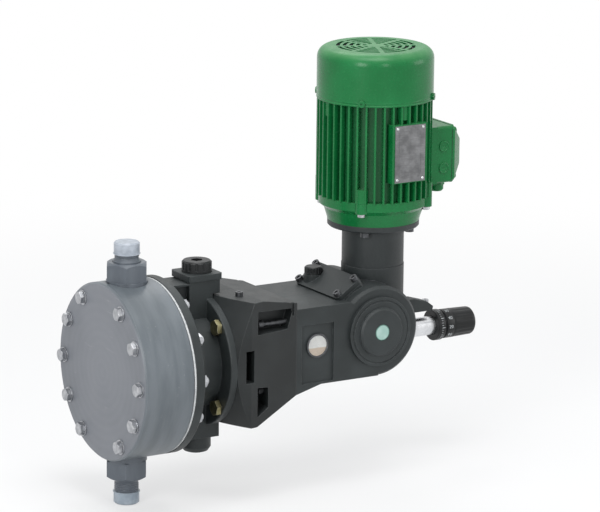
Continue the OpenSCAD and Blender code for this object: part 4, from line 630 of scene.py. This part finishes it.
FINISH_NODES = [
    (GREY_HEAD, "pump_head"),
    (ZINC, "head_bolts head_washers head_nuts shield_bolts lock_screw"),
    (PTFE, "diaphragm"),
    (STEEL, "support_plate discharge_ball suction_ball"),
    (SLATE, "hydraulic_chamber gear_case"),
    (BLACK_PLASTIC, "fill_plug oil_filler_cap fan"),
    (YELLOW_ZINC, "chamber_bolts"),
    (GREY_FITTING, "discharge_valve_body suction_valve_body union_nuts pipe_connectors"),
    (RUBBER, "valve_seals plunger_seals"),
    (CAPS, "port_caps"),
    (SLATE_SHADED_LANTERN, "lantern"),
    (BLACK_STEEL, "lantern_bolts case_screws sight_glass_ring oil_drain_plug flange_bolts"),
    (BUSH_BRONZE, "rod_bush"),
    (SLATE_COVERS, "side_cover top_cover"),
    (LENS, "sight_glass"),
    (BEARING_STEEL, "gear_bearings motor_bearings"),
    (SLATE_PEDESTAL, "pedestal"),
    (GREEN, "drive_end_shield rear_end_shield motor_screws terminal_box terminal_box_lid "
     "cable_gland"),
    (GREEN_FINS, "motor_frame"),
    (SHEETS, "stator_core"),
    (WINDINGS, "stator_windings"),
    (GREEN_COWL, "fan_cover"),
    (PLATE, "data_plate"),
    (ROTOR_METAL, "rotor"),
    (SHAFT_STEEL, "motor_shaft worm_shaft"),
    (WHEEL_STEEL, "wheel_shaft"),
    (BRONZE, "worm_wheel"),
    (YOKE_IRON, "yoke"),
    (ROD_STEEL, "push_rod plunger stop_pin stroke_spindle"),
    (SPRING_STEEL, "return_spring"),
    (SLEEVE, "stroke_bush"),
    (BLACK_KNOB, "stroke_knob"),
]


def dress_nodes():
    """Gives each CAD node the finish that it is listed with."""
    for finish, nodes in FINISH_NODES:
        for node in nodes.split():
            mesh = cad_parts[node].data
            mesh.materials.clear()
            mesh.materials.append(finish)


dress_nodes()


# Surfaces worked out on grids

def put(name, points, faces, material, body, slot, corner=32.0):
    """Makes one piece of a point array in millimetres and a face array of four corners each.

    Doubled points at seams and poles are merged, and the faces are turned outwards.
    """
    mesh = bpy.data.meshes.new(name)
    mesh.vertices.add(len(points))
    metres = (np.asarray(points, np.float64) * 0.001).astype(np.float32)
    mesh.vertices.foreach_set("co", metres.ravel())
    faces = np.asarray(faces, np.int32)
    mesh.loops.add(faces.size)
    mesh.loops.foreach_set("vertex_index", faces.ravel())
    mesh.polygons.add(len(faces))
    starts = np.arange(0, faces.size, faces.shape[1], dtype=np.int32)
    mesh.polygons.foreach_set("loop_start", starts)
    mesh.update(calc_edges=True)
    work = bmesh.new()
    work.from_mesh(mesh)
    bmesh.ops.remove_doubles(work, verts=work.verts, dist=2e-6)
    bmesh.ops.dissolve_degenerate(work, edges=work.edges, dist=1e-7)
    bmesh.ops.recalc_face_normals(work, faces=work.faces)
    work.to_mesh(mesh)
    work.free()
    mesh.polygons.foreach_set("use_smooth", np.ones(len(mesh.polygons), bool))
    mesh.set_sharp_from_angle(angle=math.radians(corner))
    mesh.materials.append(material)
    piece = placed(name, mesh)
    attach(piece, body)
    return piece


def grid_faces(rows, columns, wrap_rows=False, wrap_columns=False):
    """Corner numbers of each cell of a grid, whose last row or column may meet its first."""
    r = np.arange(rows if wrap_rows else rows - 1)
    c = np.arange(columns if wrap_columns else columns - 1)
    r, c = np.meshgrid(r, c, indexing="ij")
    r2, c2 = (r + 1) % rows, (c + 1) % columns
    return np.stack([r * columns + c, r2 * columns + c, r2 * columns + c2, r * columns + c2],
                    axis=-1).reshape(-1, 4)


def around(frame_axes, origin, angle, radius, distance):
    """Points round an axis: each is the origin plus distance along the axis plus radius times the
    angle's cosine and sine along the two cross directions."""
    across, over, axis = frame_axes
    spoke = np.cos(angle)[..., None] * across + np.sin(angle)[..., None] * over
    points = np.asarray(origin, float) + distance[..., None] * axis + radius[..., None] * spoke
    return points.reshape(-1, 3)


def full_turn(count):
    """Even angles once round, without the last."""
    return np.arange(count) * 2 * np.pi / count


def circle(count, radius, middle=(0.0, 0.0)):
    """Points of a circle in a plane."""
    angle = np.linspace(0, 2 * np.pi, count + 1)[:-1]
    return np.stack([np.cos(angle), np.sin(angle)], axis=1) * radius + middle


def rounded_box(count, half_across, half_up, power):
    """Outline of a rectangle with round corners: the cosine and the sine, each raised to a small
    power with its sign kept, times the half sizes."""
    cos, sin = np.cos(full_turn(count)), np.sin(full_turn(count))
    return np.stack([half_across * np.sign(cos) * np.abs(cos) ** power,
                     half_up * np.sign(sin) * np.abs(sin) ** power], axis=1)


def lathe(profile, frame_axes, origin, segments=96, loop=False):
    """Turns a profile of (radius, distance) round an axis."""
    profile = np.asarray(profile, float)
    points = around(frame_axes, origin, full_turn(segments), profile[:, :1], profile[:, 1:])
    return points, grid_faces(len(profile), segments, loop, True)


def gathered(parts):
    """Joins several (points, faces) pairs into one."""
    points, faces, start = [], [], 0
    for p, f in parts:
        points.append(p)
        faces.append(f + start)
        start += len(p)
    return np.vstack(points), np.vstack(faces)


def hexagon_head(flats, height, frame_axes, origin, turn=0.0, tail=None):
    """A hexagon head with a chamfered crown: the hexagon's radius is half the flats over the cosine
    of the angle to the nearest flat, and the crown's cone cuts its corners down to a round top."""
    angle = full_turn(72)
    off = (angle + np.pi / 6) % (np.pi / 3) - np.pi / 6
    six = flats / 2 / np.cos(off)
    crown = flats / 2 * 0.955
    top = height - (six - crown) * math.tan(math.radians(28))
    foot = np.full(72, flats / 2 * 0.955)
    nought = np.zeros(72)
    radii = [nought, foot, six, six, np.full(72, crown), np.full(72, crown * 0.82), nought]
    crown_height = nought + height
    heights = [nought, nought, nought + 0.35, top, crown_height, crown_height, crown_height]
    if tail is not None:
        shank, length = tail
        thick = np.full(72, shank)
        radii = [nought, thick - 0.6, thick, thick] + radii[1:]
        heights = [nought - length, nought - length, nought - length + 0.8, nought] + heights[1:]
    points = around(frame_axes, origin, angle + turn, np.array(radii), np.array(heights))
    return points, grid_faces(len(radii), 72, False, True)


def helix_ridge(radius, height, pitch, start, end, frame_axes, origin, per_turn=72):
    """A thread ridge: a three-cornered section carried along a helix, faded out at both ends."""
    turns = (end - start) / pitch
    count = int(per_turn * turns)
    share = np.linspace(0.0, 1.0, count)
    angle = share * turns * 2 * np.pi
    fade = np.minimum(1.0, np.minimum(share, 1.0 - share) * turns * 3.0)
    section = np.array([[-0.25, -0.46], [1.0, -0.09], [1.0, 0.09], [-0.25, 0.46]])
    rise = radius + section[None, :, 0] * height * fade[:, None]
    place = start + share[:, None] * (end - start) + section[None, :, 1] * pitch * fade[:, None]
    return (around(frame_axes, origin, angle[:, None], rise, place),
            grid_faces(count, 4, False, True))


def flat_strip(outline, width, thickness, frame_axes, origin):
    """A flat closed band: the outline's points, moved in by width along the way to its middle."""
    outline = np.asarray(outline, float)
    middle = outline.mean(0)
    way = middle - outline
    inner = outline + way / np.linalg.norm(way, axis=1)[:, None] * width
    across, over, axis = frame_axes
    rings = [(outline, 0.0), (outline, thickness), (inner, thickness), (inner, 0.0)]
    points = [np.asarray(origin, float) + r[:, :1] * across + r[:, 1:] * over + h * axis
              for r, h in rings]
    return np.vstack(points), grid_faces(4, len(outline), True, True)


# Fasteners with chamfered crowns

def head_fasteners():
    """Ten head bolts, with none at the two valves, and their nuts behind."""
    bolts, nuts = [], []
    for step in range(12):
        if step % 6 == 0:
            continue
        angle = step * math.pi / 6
        # The CAD's circle starts straight down and runs round the long axis
        y, z = HEAD_BOLT_RING * math.sin(angle), PUMP_AXIS - HEAD_BOLT_RING * math.cos(angle)
        turn = 0.37 * step
        bolts.append(hexagon_head(M8_FLATS, 5.3, BACKWARDS, (HEAD_FRONT - 1.6, y, z), turn,
                                  (4.0, 1.4)))
        nuts.append(hexagon_head(M8_FLATS, 6.5, ALONG, (MEMBRANE + 11.0, y, z), turn * 1.7))
        nuts.append(lathe([[0, 6.0], [4.0, 6.0], [4.0, 8.8], [3.4, 9.5], [0, 9.5]], ALONG,
                          (MEMBRANE + 11.0, y, z), 32))
    bolts = put("head_bolt_heads", *gathered(bolts), ZINC, "housing", "bright_steel")
    nuts = put("head_bolt_nuts", *gathered(nuts), ZINC, "housing", "bright_steel")
    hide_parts("head_bolts")
    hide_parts("head_nuts")


def chamber_fasteners():
    """Four yellow bolts on the rear flange of the chamber."""
    parts = []
    for step in range(4):
        angle = math.pi / 4 + step * math.pi / 2
        y, z = CHAMBER_BOLT_RING * math.sin(angle), PUMP_AXIS - CHAMBER_BOLT_RING * math.cos(angle)
        parts.append(hexagon_head(M10_FLATS, 6.4, BACKWARDS, (RIM_X - 8.0, y, z),
                                  0.5 + step * 0.8, (5.0, 6.0)))
    piece = put("chamber_bolt_heads", *gathered(parts), YELLOW_ZINC, "housing", "yellow_zinc")
    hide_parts("chamber_bolts")


def motor_fasteners():
    """The eight hexagon screws that hold the motor's end shields."""
    parts = []
    for step in range(4):
        for ring, height, axes, start, turn in (
                (LUG_RING, SHIELD_TOP - 12.0, DOWNWARD, math.pi / 4, 0.0),
                (REAR_RING, COWL_FOOT + 8.0, UPRIGHT, 0.0, 0.3)):
            angle = start + step * math.pi / 2
            place = (MOTOR_X + ring * math.cos(angle), ring * math.sin(angle), height)
            parts.append(hexagon_head(M5_FLATS, 4.0, axes, place, angle + turn, (2.5, 10.0)))
    piece = put("shield_bolt_heads", *gathered(parts), ZINC, "housing", "bright_steel")
    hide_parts("shield_bolts")


# Spring and stroke knob

def spring_coils():
    """The return spring as a piece of its own, copied from the CAD node with its doubled points
    merged."""
    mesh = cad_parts["return_spring"].data.copy()
    mesh.name = "spring_coils"
    work = bmesh.new()
    work.from_mesh(mesh)
    bmesh.ops.remove_doubles(work, verts=work.verts, dist=1e-6)
    work.to_mesh(mesh)
    work.free()
    piece = placed("spring_coils", mesh)
    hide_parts("return_spring")
    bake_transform(piece)


def knob_body():
    """The knob's outline turned round the long axis, with sixteen shallow flutes on the grip:
    radius times (1 - depth * flute * mask), where flute is a raised cosine of the angle. The skirt
    keeps its length and the grip beyond it takes up what the node's reach leaves."""
    low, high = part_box("stroke_knob")
    reach = (high.x - low.x) * 1000
    grip, tip = 26.0, 73.0
    outline = np.array([
        [11.35, 0.0], [17.4, 0.0], [18.0, 0.6], [18.0, 2.2], [17.7, 2.5], [17.7, 3.0], [18.0, 3.3],
        [18.0, 8.6], [17.6, 9.4], [15.9, 10.6], [15.5, 11.4], [15.5, 12.0], [16.1, 12.6],
        [17.0, 13.0], [17.0, 21.6], [16.8, 22.1], [16.8, 22.7], [17.0, 23.2], [16.95, grip],
        [16.8, 34.0], [16.62, 44.0], [16.45, 55.0], [16.3, 64.0], [16.2, 67.2], [15.7, 69.6],
        [14.6, 71.5], [12.9, 72.6], [10.8, tip], [7.4, tip], [7.0, 72.6], [6.6, 72.2],
        [0.0, 72.2]])
    beyond = outline[:, 1] > grip
    outline[beyond, 1] = grip + (outline[beyond, 1] - grip) * (reach - grip) / (tip - grip)
    bore = np.array([[0.0, 16.5], [11.35, 16.5]])
    profile = np.vstack([bore, outline])
    angle = full_turn(160)
    stretch = np.interp(profile[:, 1], [24.5, 27.5, reach - 7.0, reach - 3.5], [0.0, 1.0, 1.0, 0.0])
    stretch[profile[:, 0] < 12] = 0.0
    flute = (0.5 + 0.5 * np.cos(angle * 16)) ** 3
    radius = profile[:, 0, None] * (1.0 - 0.030 * stretch[:, None] * flute[None, :])
    points = around(ALONG, (KNOB_X, 0.0, PUMP_AXIS), angle, radius, profile[:, 1:])
    piece = put("knob_grip", points, grid_faces(len(profile), len(angle), False, True),
                BLACK_KNOB, "stroke_screw", "black_plastic", 30.0)
    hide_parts("stroke_knob")


def round_patch(radius, start, end, centre, span, lift=0.12):
    """A thin raised patch on a round bar along X: a box bent round the bar, in 4 steps."""
    angle = centre + np.linspace(-span / 2, span / 2, 5)
    ring = []
    for r in (radius - 0.25, radius + lift):
        for x in (start, end):
            ring.append(np.stack([np.full(5, KNOB_X + x), np.cos(angle) * r,
                                  PUMP_AXIS + np.sin(angle) * r], axis=1))
    a, b, d, c = ring
    points = np.stack([a, b, c, d], axis=1).reshape(-1, 3)
    sides = grid_faces(5, 4, False, True)
    caps = np.array([[0, 1, 2, 3], [16, 17, 18, 19]])
    return points, np.vstack([sides, caps])


def knob_scale():
    """Forty scale lines round the knob's skirt, each fourth one longer, a line on the sleeve, and
    numbers from 0 to 90."""
    parts = []
    for step in range(40):
        angle = step * math.pi / 20
        long = step % 4 == 0
        parts.append(round_patch(18.0, 4.0, 8.2 if long else 6.2, angle, 0.035 if long else 0.022))
    parts.append(round_patch(11.0, -16.0, -0.6, 2.5, 0.05, 0.06))
    put("knob_scale_lines", *gathered(parts), PRINT, "stroke_screw", "bright_steel", 30.0)
    digits = []
    for step in range(10):
        text = bpy.data.curves.new("scale_number", "FONT")
        text.body = str(step * 10)
        text.size = 5.6
        text.align_x = "CENTER"
        text.align_y = "CENTER"
        text.extrude = 0.12
        text.resolution_u = 2
        holder = placed("scale_number", text)
        bpy.context.view_layer.update()
        mesh = bpy.data.meshes.new_from_object(holder)
        flat = np.zeros(len(mesh.vertices) * 3, np.float32)
        mesh.vertices.foreach_get("co", flat)
        flat = flat.reshape(-1, 3).astype(float)
        # The number stands across the knob: its width runs along the axis, its height round it
        angle = step * math.pi / 5 + flat[:, 1] / 17.0
        radius = 17.0 + flat[:, 2]
        wrapped = np.stack([KNOB_X + 17.4 + flat[:, 0], np.cos(angle) * radius,
                            PUMP_AXIS + np.sin(angle) * radius], axis=1)
        wrapped *= 0.001
        mesh.vertices.foreach_set("co", wrapped.astype(np.float32).ravel())
        mesh.update()
        digits.append(mesh)
        bpy.data.objects.remove(holder)
        bpy.data.curves.remove(text)
    work = bmesh.new()
    for mesh in digits:
        work.from_mesh(mesh)
        bpy.data.meshes.remove(mesh)
    bmesh.ops.remove_doubles(work, verts=work.verts, dist=1e-6)
    bmesh.ops.triangulate(work, faces=work.faces)
    bmesh.ops.recalc_face_normals(work, faces=work.faces)
    mesh = bpy.data.meshes.new("knob_numbers")
    work.to_mesh(mesh)
    work.free()
    mesh.materials.append(PRINT)
    piece = placed("knob_numbers", mesh)
    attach(piece, "stroke_screw")


# Fittings

def pipe_threads():
    """Thread ridges on the free ends of the two pipe connectors."""
    foot = VALVE_RING_END + UNION_AND_COLLAR
    axis = (VALVE_X, 0, PUMP_AXIS)
    parts = [helix_ridge(13.2, 0.55, 2.1, foot + start, foot + end, axes, axis)
             for start, end, axes in ((0.4, 3.6, UPRIGHT), (2.9, 13.0, DOWNWARD))]
    put("pipe_threads", *gathered(parts), GREY_FITTING, "housing", "pvc_fitting", 40.0)


def cap_rims():
    """A rolled bead round the open end of each port cap: a small circle carried round the port."""
    bead = circle(12, 0.62, (14.62, 0.0))
    end = VALVE_RING_END + UNION_AND_COLLAR + 16.0
    parts = [lathe(bead + [0, end + along], axes, (VALVE_X, 0, PUMP_AXIS), 64, True)
             for along, axes in ((0.7 - 12.0, UPRIGHT), (2.5 + 0.7 - 5.0, DOWNWARD))]
    put("cap_rims", *gathered(parts), CAPS, "housing", "clear_cap", 40.0)


def sight_window():
    """The oil sight: a thin screwed ring with a white reflector close behind a domed glass.
    Distances run towards the viewer from the ring's front."""
    low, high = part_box("sight_glass_ring")
    place = (SIGHT_X, low.y * 1000, SIGHT_Z)
    depth = (high.y - low.y) * 1000
    ring = [[12.0, -2.4], [12.0, -0.5], [12.4, -0.1], [13.3, 0.0], [13.9, -0.5], [14.0, -1.1],
            [14.0, -2.9], [11.4, -2.9], [11.4, -depth], [10.2, -depth], [10.2, -3.4], [12.0, -3.4]]
    dish = [[0.0, -2.6], [11.9, -2.6], [11.9, -1.7], [11.4, -1.5], [2.2, -1.9], [1.7, -2.3],
            [0.0, -2.3]]
    dome = [[11.8 * math.cos(a), -1.0 + 0.9 * math.sin(a)] for a in np.linspace(0, math.pi / 2, 9)]
    lens = [[0.0, -1.4], [11.8, -1.4]] + dome
    frame_ring = put("sight_ring", *lathe(ring, TOWARDS_VIEWER, place, 96, True), BLACK_STEEL,
                     "housing", "dark_steel", 28.0)
    put("sight_reflector", *lathe(dish, TOWARDS_VIEWER, place, 72), REFLECTOR, "housing",
        "white_ptfe")
    glass = put("sight_lens", *lathe(lens, TOWARDS_VIEWER, place, 72), LENS, "housing",
                "clear_glass", 50.0)
    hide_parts("sight_glass_ring")
    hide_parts("sight_glass")


def cover_disc():
    """A plain disc seated in the side cover, slightly domed, with a raised rim."""
    outline = [[0.0, -0.5], [8.9, -0.5], [9.1, -0.3], [9.1, 0.4], [8.8, 0.7], [8.3, 0.7],
               [8.0, 0.45], [6.0, 0.62], [3.0, 0.74], [0.0, 0.78]]
    place = (WHEEL_X, CASE_SIDE - 7.4, WHEEL_Z)
    put("cover_disc", *lathe(outline, TOWARDS_VIEWER, place, 72), DISC, "housing",
        "plate_aluminium", 40.0)


def joint_gaskets():
    """Thin dark edges of the gaskets: round ones as turned bands, the square one as a strip."""
    band = lambda r, h: [[r - 1.5, 0.0], [r + 0.12, 0.0], [r + 0.12, h], [r - 1.5, h]]
    parts = [
        lathe(band(35.75, 0.7), UPRIGHT, (MOTOR_X, 0, PEDESTAL_SEAT - 0.35), 120, True),
        lathe(band(52.5, 0.6), UPRIGHT, (MOTOR_X, 0, MOTOR_FLANGE - 0.3), 120, True),
        lathe(band(40.0, 0.5), TOWARDS_VIEWER, (WHEEL_X, CASE_SIDE + 0.1, WHEEL_Z), 120, True),
        lathe(band(74.4, 0.5), ALONG, (RIM_X - 0.25, 0, PUMP_AXIS), 144, True),
    ]
    outline = [[-60.05, -41.05], [60.05, -41.05], [60.05, 66.0], [-60.05, 66.0]]
    fine = []
    for a, b in zip(outline, outline[1:] + outline[:1]):
        share = np.linspace(0, 1, 12)[:-1, None]
        fine.append(np.array(a) + share * (np.array(b) - np.array(a)))
    parts.append(flat_strip(np.vstack(fine), 1.5, 0.6, ALONG, (JOINT_X - 0.3, 0, PUMP_AXIS)))
    put("joint_gaskets", *gathered(parts), GASKET, "housing", "seal_rubber", 30.0)


def plate_details():
    """Rivets at the corners of the data plate and a raised rim round its bare field."""
    low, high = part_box("data_plate")
    low, high = np.array(low) * 1000, np.array(high) * 1000
    front = low[1]
    rivets = []
    head = [[0.0, -0.2], [1.7, -0.2], [1.6, 0.25], [1.2, 0.62], [0.6, 0.82], [0.0, 0.88]]
    for x in (low[0] + 3.2, high[0] - 3.2):
        for z in (low[2] + 3.2, high[2] - 3.2):
            rivets.append(lathe(head, TOWARDS_VIEWER, (x, front, z), 24))
    put("plate_rivets", *gathered(rivets), STEEL, "housing", "stainless", 60.0)
    half_x, half_z = (high[0] - low[0]) / 2 - 5.4, (high[2] - low[2]) / 2 - 5.4
    rim = rounded_box(96, half_x, half_z, 0.18)
    middle = ((low[0] + high[0]) / 2, front + 0.1, (low[2] + high[2]) / 2)
    put("plate_rim", *flat_strip(rim, 0.7, 0.25, TOWARDS_VIEWER, middle), PLATE, "housing",
        "plate_aluminium")


def lid_ring(x, half_w, half_h, cut):
    """Eight corners of a rectangle with cut corners, on the plane at x from the motor's axis."""
    w, h = half_w - cut, half_h - cut
    y = np.array([half_w, w, -w, -half_w, -half_w, -w, w, half_w])
    z = np.array([h, half_h, half_h, h, -h, -half_h, -half_h, -h])
    return np.stack([np.full(8, MOTOR_X + x), y, BOX_Z + z], axis=1)


def box_lid():
    """The lid of the terminal box as a shell: rings of eight corners that narrow towards the front,
    with the cut at the corners growing, inside first and then outside."""
    inside = [(95.0, 0.0, 0.0, 0.0), (95.0, 24.5, 20.5, 8.5), (83.0, 36.5, 29.5, 4.0),
              (LID_JOINT, 37.0, 30.0, 4.0)]
    outside = [(LID_JOINT, 40.4, 33.4, 4.0), (83.0, 40.4, 33.4, 4.4), (97.5, 28.3, 24.2, 9.8),
               (98.4, 27.0, 22.9, 9.2), (98.4, 0.0, 0.0, 0.0)]
    rings = inside + outside
    points = np.vstack([lid_ring(*ring) for ring in rings])
    piece = put("box_lid_shell", points, grid_faces(len(rings), 8, False, True), GREEN, "housing",
                "green_paint", 18.0)
    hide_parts("terminal_box_lid")


def box_details():
    """Two closed cable entries on the near side of the terminal box, and the seal under its lid."""
    ring = [[0.0, -0.5], [6.4, -0.5], [6.4, 0.9], [5.9, 1.3], [5.1, 1.3], [4.7, 0.7], [2.0, 0.7],
            [1.6, 0.2], [0.0, 0.2]]
    parts = [lathe(ring, TOWARDS_VIEWER, (MOTOR_X + 68.5, -BOX_SIDE, BOX_Z + z), 48)
             for z in (10.0, -15.0)]
    put("closed_entries", *gathered(parts), GREEN, "housing", "green_paint", 35.0)
    rim = rounded_box(160, 33.3, 40.3, 0.12)
    seal_axes = np.array([UPRIGHT[2], UPRIGHT[1], UPRIGHT[0]])
    place = (MOTOR_X + LID_JOINT - 0.4, 0, BOX_Z)
    put("lid_seal", *flat_strip(rim, 2.0, 0.8, seal_axes, place), GASKET, "housing", "seal_rubber")


def cowl_details():
    """The rolled edge at the foot of the fan cover, and the wire guard behind its slots."""
    bead = circle(12, 1.0) * (0.5, 1.0) + (66.3, 1.0)
    put("cowl_edge", *lathe(bead, UPRIGHT, (MOTOR_X, 0, COWL_FOOT + 0.1), 144, True), GREEN_COWL,
        "housing", "green_paint", 40.0)
    wire = circle(12, 0.45)
    parts = [lathe(wire + [r, -2.2], UPRIGHT, (MOTOR_X, 0, COWL_TOP), 96, True)
             for r in np.arange(12, 46, 3.0)]
    ring = circle(12, 0.4)
    reach = np.linspace(9.0, 45.5, 6)
    for angle in full_turn(36):
        out = np.array([np.cos(angle), np.sin(angle), 0.0])
        side = np.array([-out[1], out[0], 0.0])
        points = (np.array([MOTOR_X, 0, COWL_TOP - 2.9]) + reach[:, None, None] * out
                  + ring[None, :, :1] * side + ring[None, :, 1:] * UPRIGHT[2])
        parts.append((points.reshape(-1, 3), grid_faces(len(reach), len(ring), False, True)))
    put("cowl_guard", *gathered(parts), BLACK_STEEL, "housing", "dark_steel", 60.0)


head_fasteners()
chamber_fasteners()
motor_fasteners()
spring_coils()
knob_body()
knob_scale()
pipe_threads()
cap_rims()
sight_window()
cover_disc()
joint_gaskets()
plate_details()
box_lid()
box_details()
cowl_details()


# Floor, light and background

def studio():
    """A pale floor just under the lowest point, which turns to plain white away from the pump, and
    soft lamps from above, from the left, the front and the right, and from behind."""
    size, level = 9.0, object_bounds()[0].z - 0.0006
    corners = [(x * size, y * size, level) for x, y in ((-1, -1), (1, -1), (1, 1), (-1, 1))]
    mesh = bpy.data.meshes.new("studio_floor")
    mesh.from_pydata(corners, [], [(0, 1, 2, 3)])
    floor = placed("studio_floor", mesh)
    f = Finish("studio_floor")
    x, y = f.xyz()[:2]
    away = (x * x + y * y) ** 0.5
    matt = f.node("ShaderNodeBsdfDiffuse", None, {"Color": tone(0.80, 0.80, 0.80)})
    glow = f.node("ShaderNodeEmission", None, {"Color": tone(1.0, 1.0, 1.0), "Strength": 1.0})
    share = f.ray(*BACKGROUND_RAYS) * (away.rises(0.55, 1.5) * 0.42 + 0.58)
    mixed = f.node("ShaderNodeMixShader", None, {0: share, 1: matt, 2: glow})
    mesh.materials.append(f.shows(mixed))
    floor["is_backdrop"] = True

    f = Finish("studio", world=True)
    soft = f.node("ShaderNodeBackground", None, {"Color": tone(0.93, 0.96, 1.0), "Strength": 0.52})
    white = f.node("ShaderNodeBackground", None, {"Color": tone(1.0, 1.0, 1.0), "Strength": 1.0})
    mixed = f.node("ShaderNodeMixShader", None,
                   {0: f.ray(*BACKGROUND_RAYS), 1: soft, 2: white})
    bpy.context.scene.world = f.shows(mixed)

    def lamp(name, place, aim, width, height, power, tint=(1.0, 1.0, 1.0)):
        data = bpy.data.lights.new(name, "AREA")
        data.shape = "RECTANGLE"
        data.size, data.size_y = width, height
        data.energy = power
        data.color = tint
        one = placed(name, data)
        one.location = place
        one.rotation_euler = (Vector(aim) - Vector(place)).to_track_quat("-Z", "Y").to_euler()
        one.visible_camera = False

    lamp("top_softbox", (-0.25, -0.35, 1.75), (-0.05, 0.0, 0.1), 1.1, 0.8, 17.0)
    lamp("left_softbox", (-2.0, -1.2, 0.9), (-0.1, 0.0, 0.1), 0.7, 1.3, 24.0)
    lamp("front_strip", (-0.35, -1.9, 0.75), (0.05, 0.0, 0.25), 0.16, 0.9, 5.0)
    lamp("right_fill", (1.9, -1.0, 0.6), (0.0, 0.0, 0.1), 0.9, 0.9, 8.0)
    lamp("back_softbox", (0.5, 1.3, 1.9), (0.0, 0.0, 0.1), 1.0, 0.8, 12.0)


studio()

scene = bpy.context.scene
scene.view_settings.view_transform = "Standard"
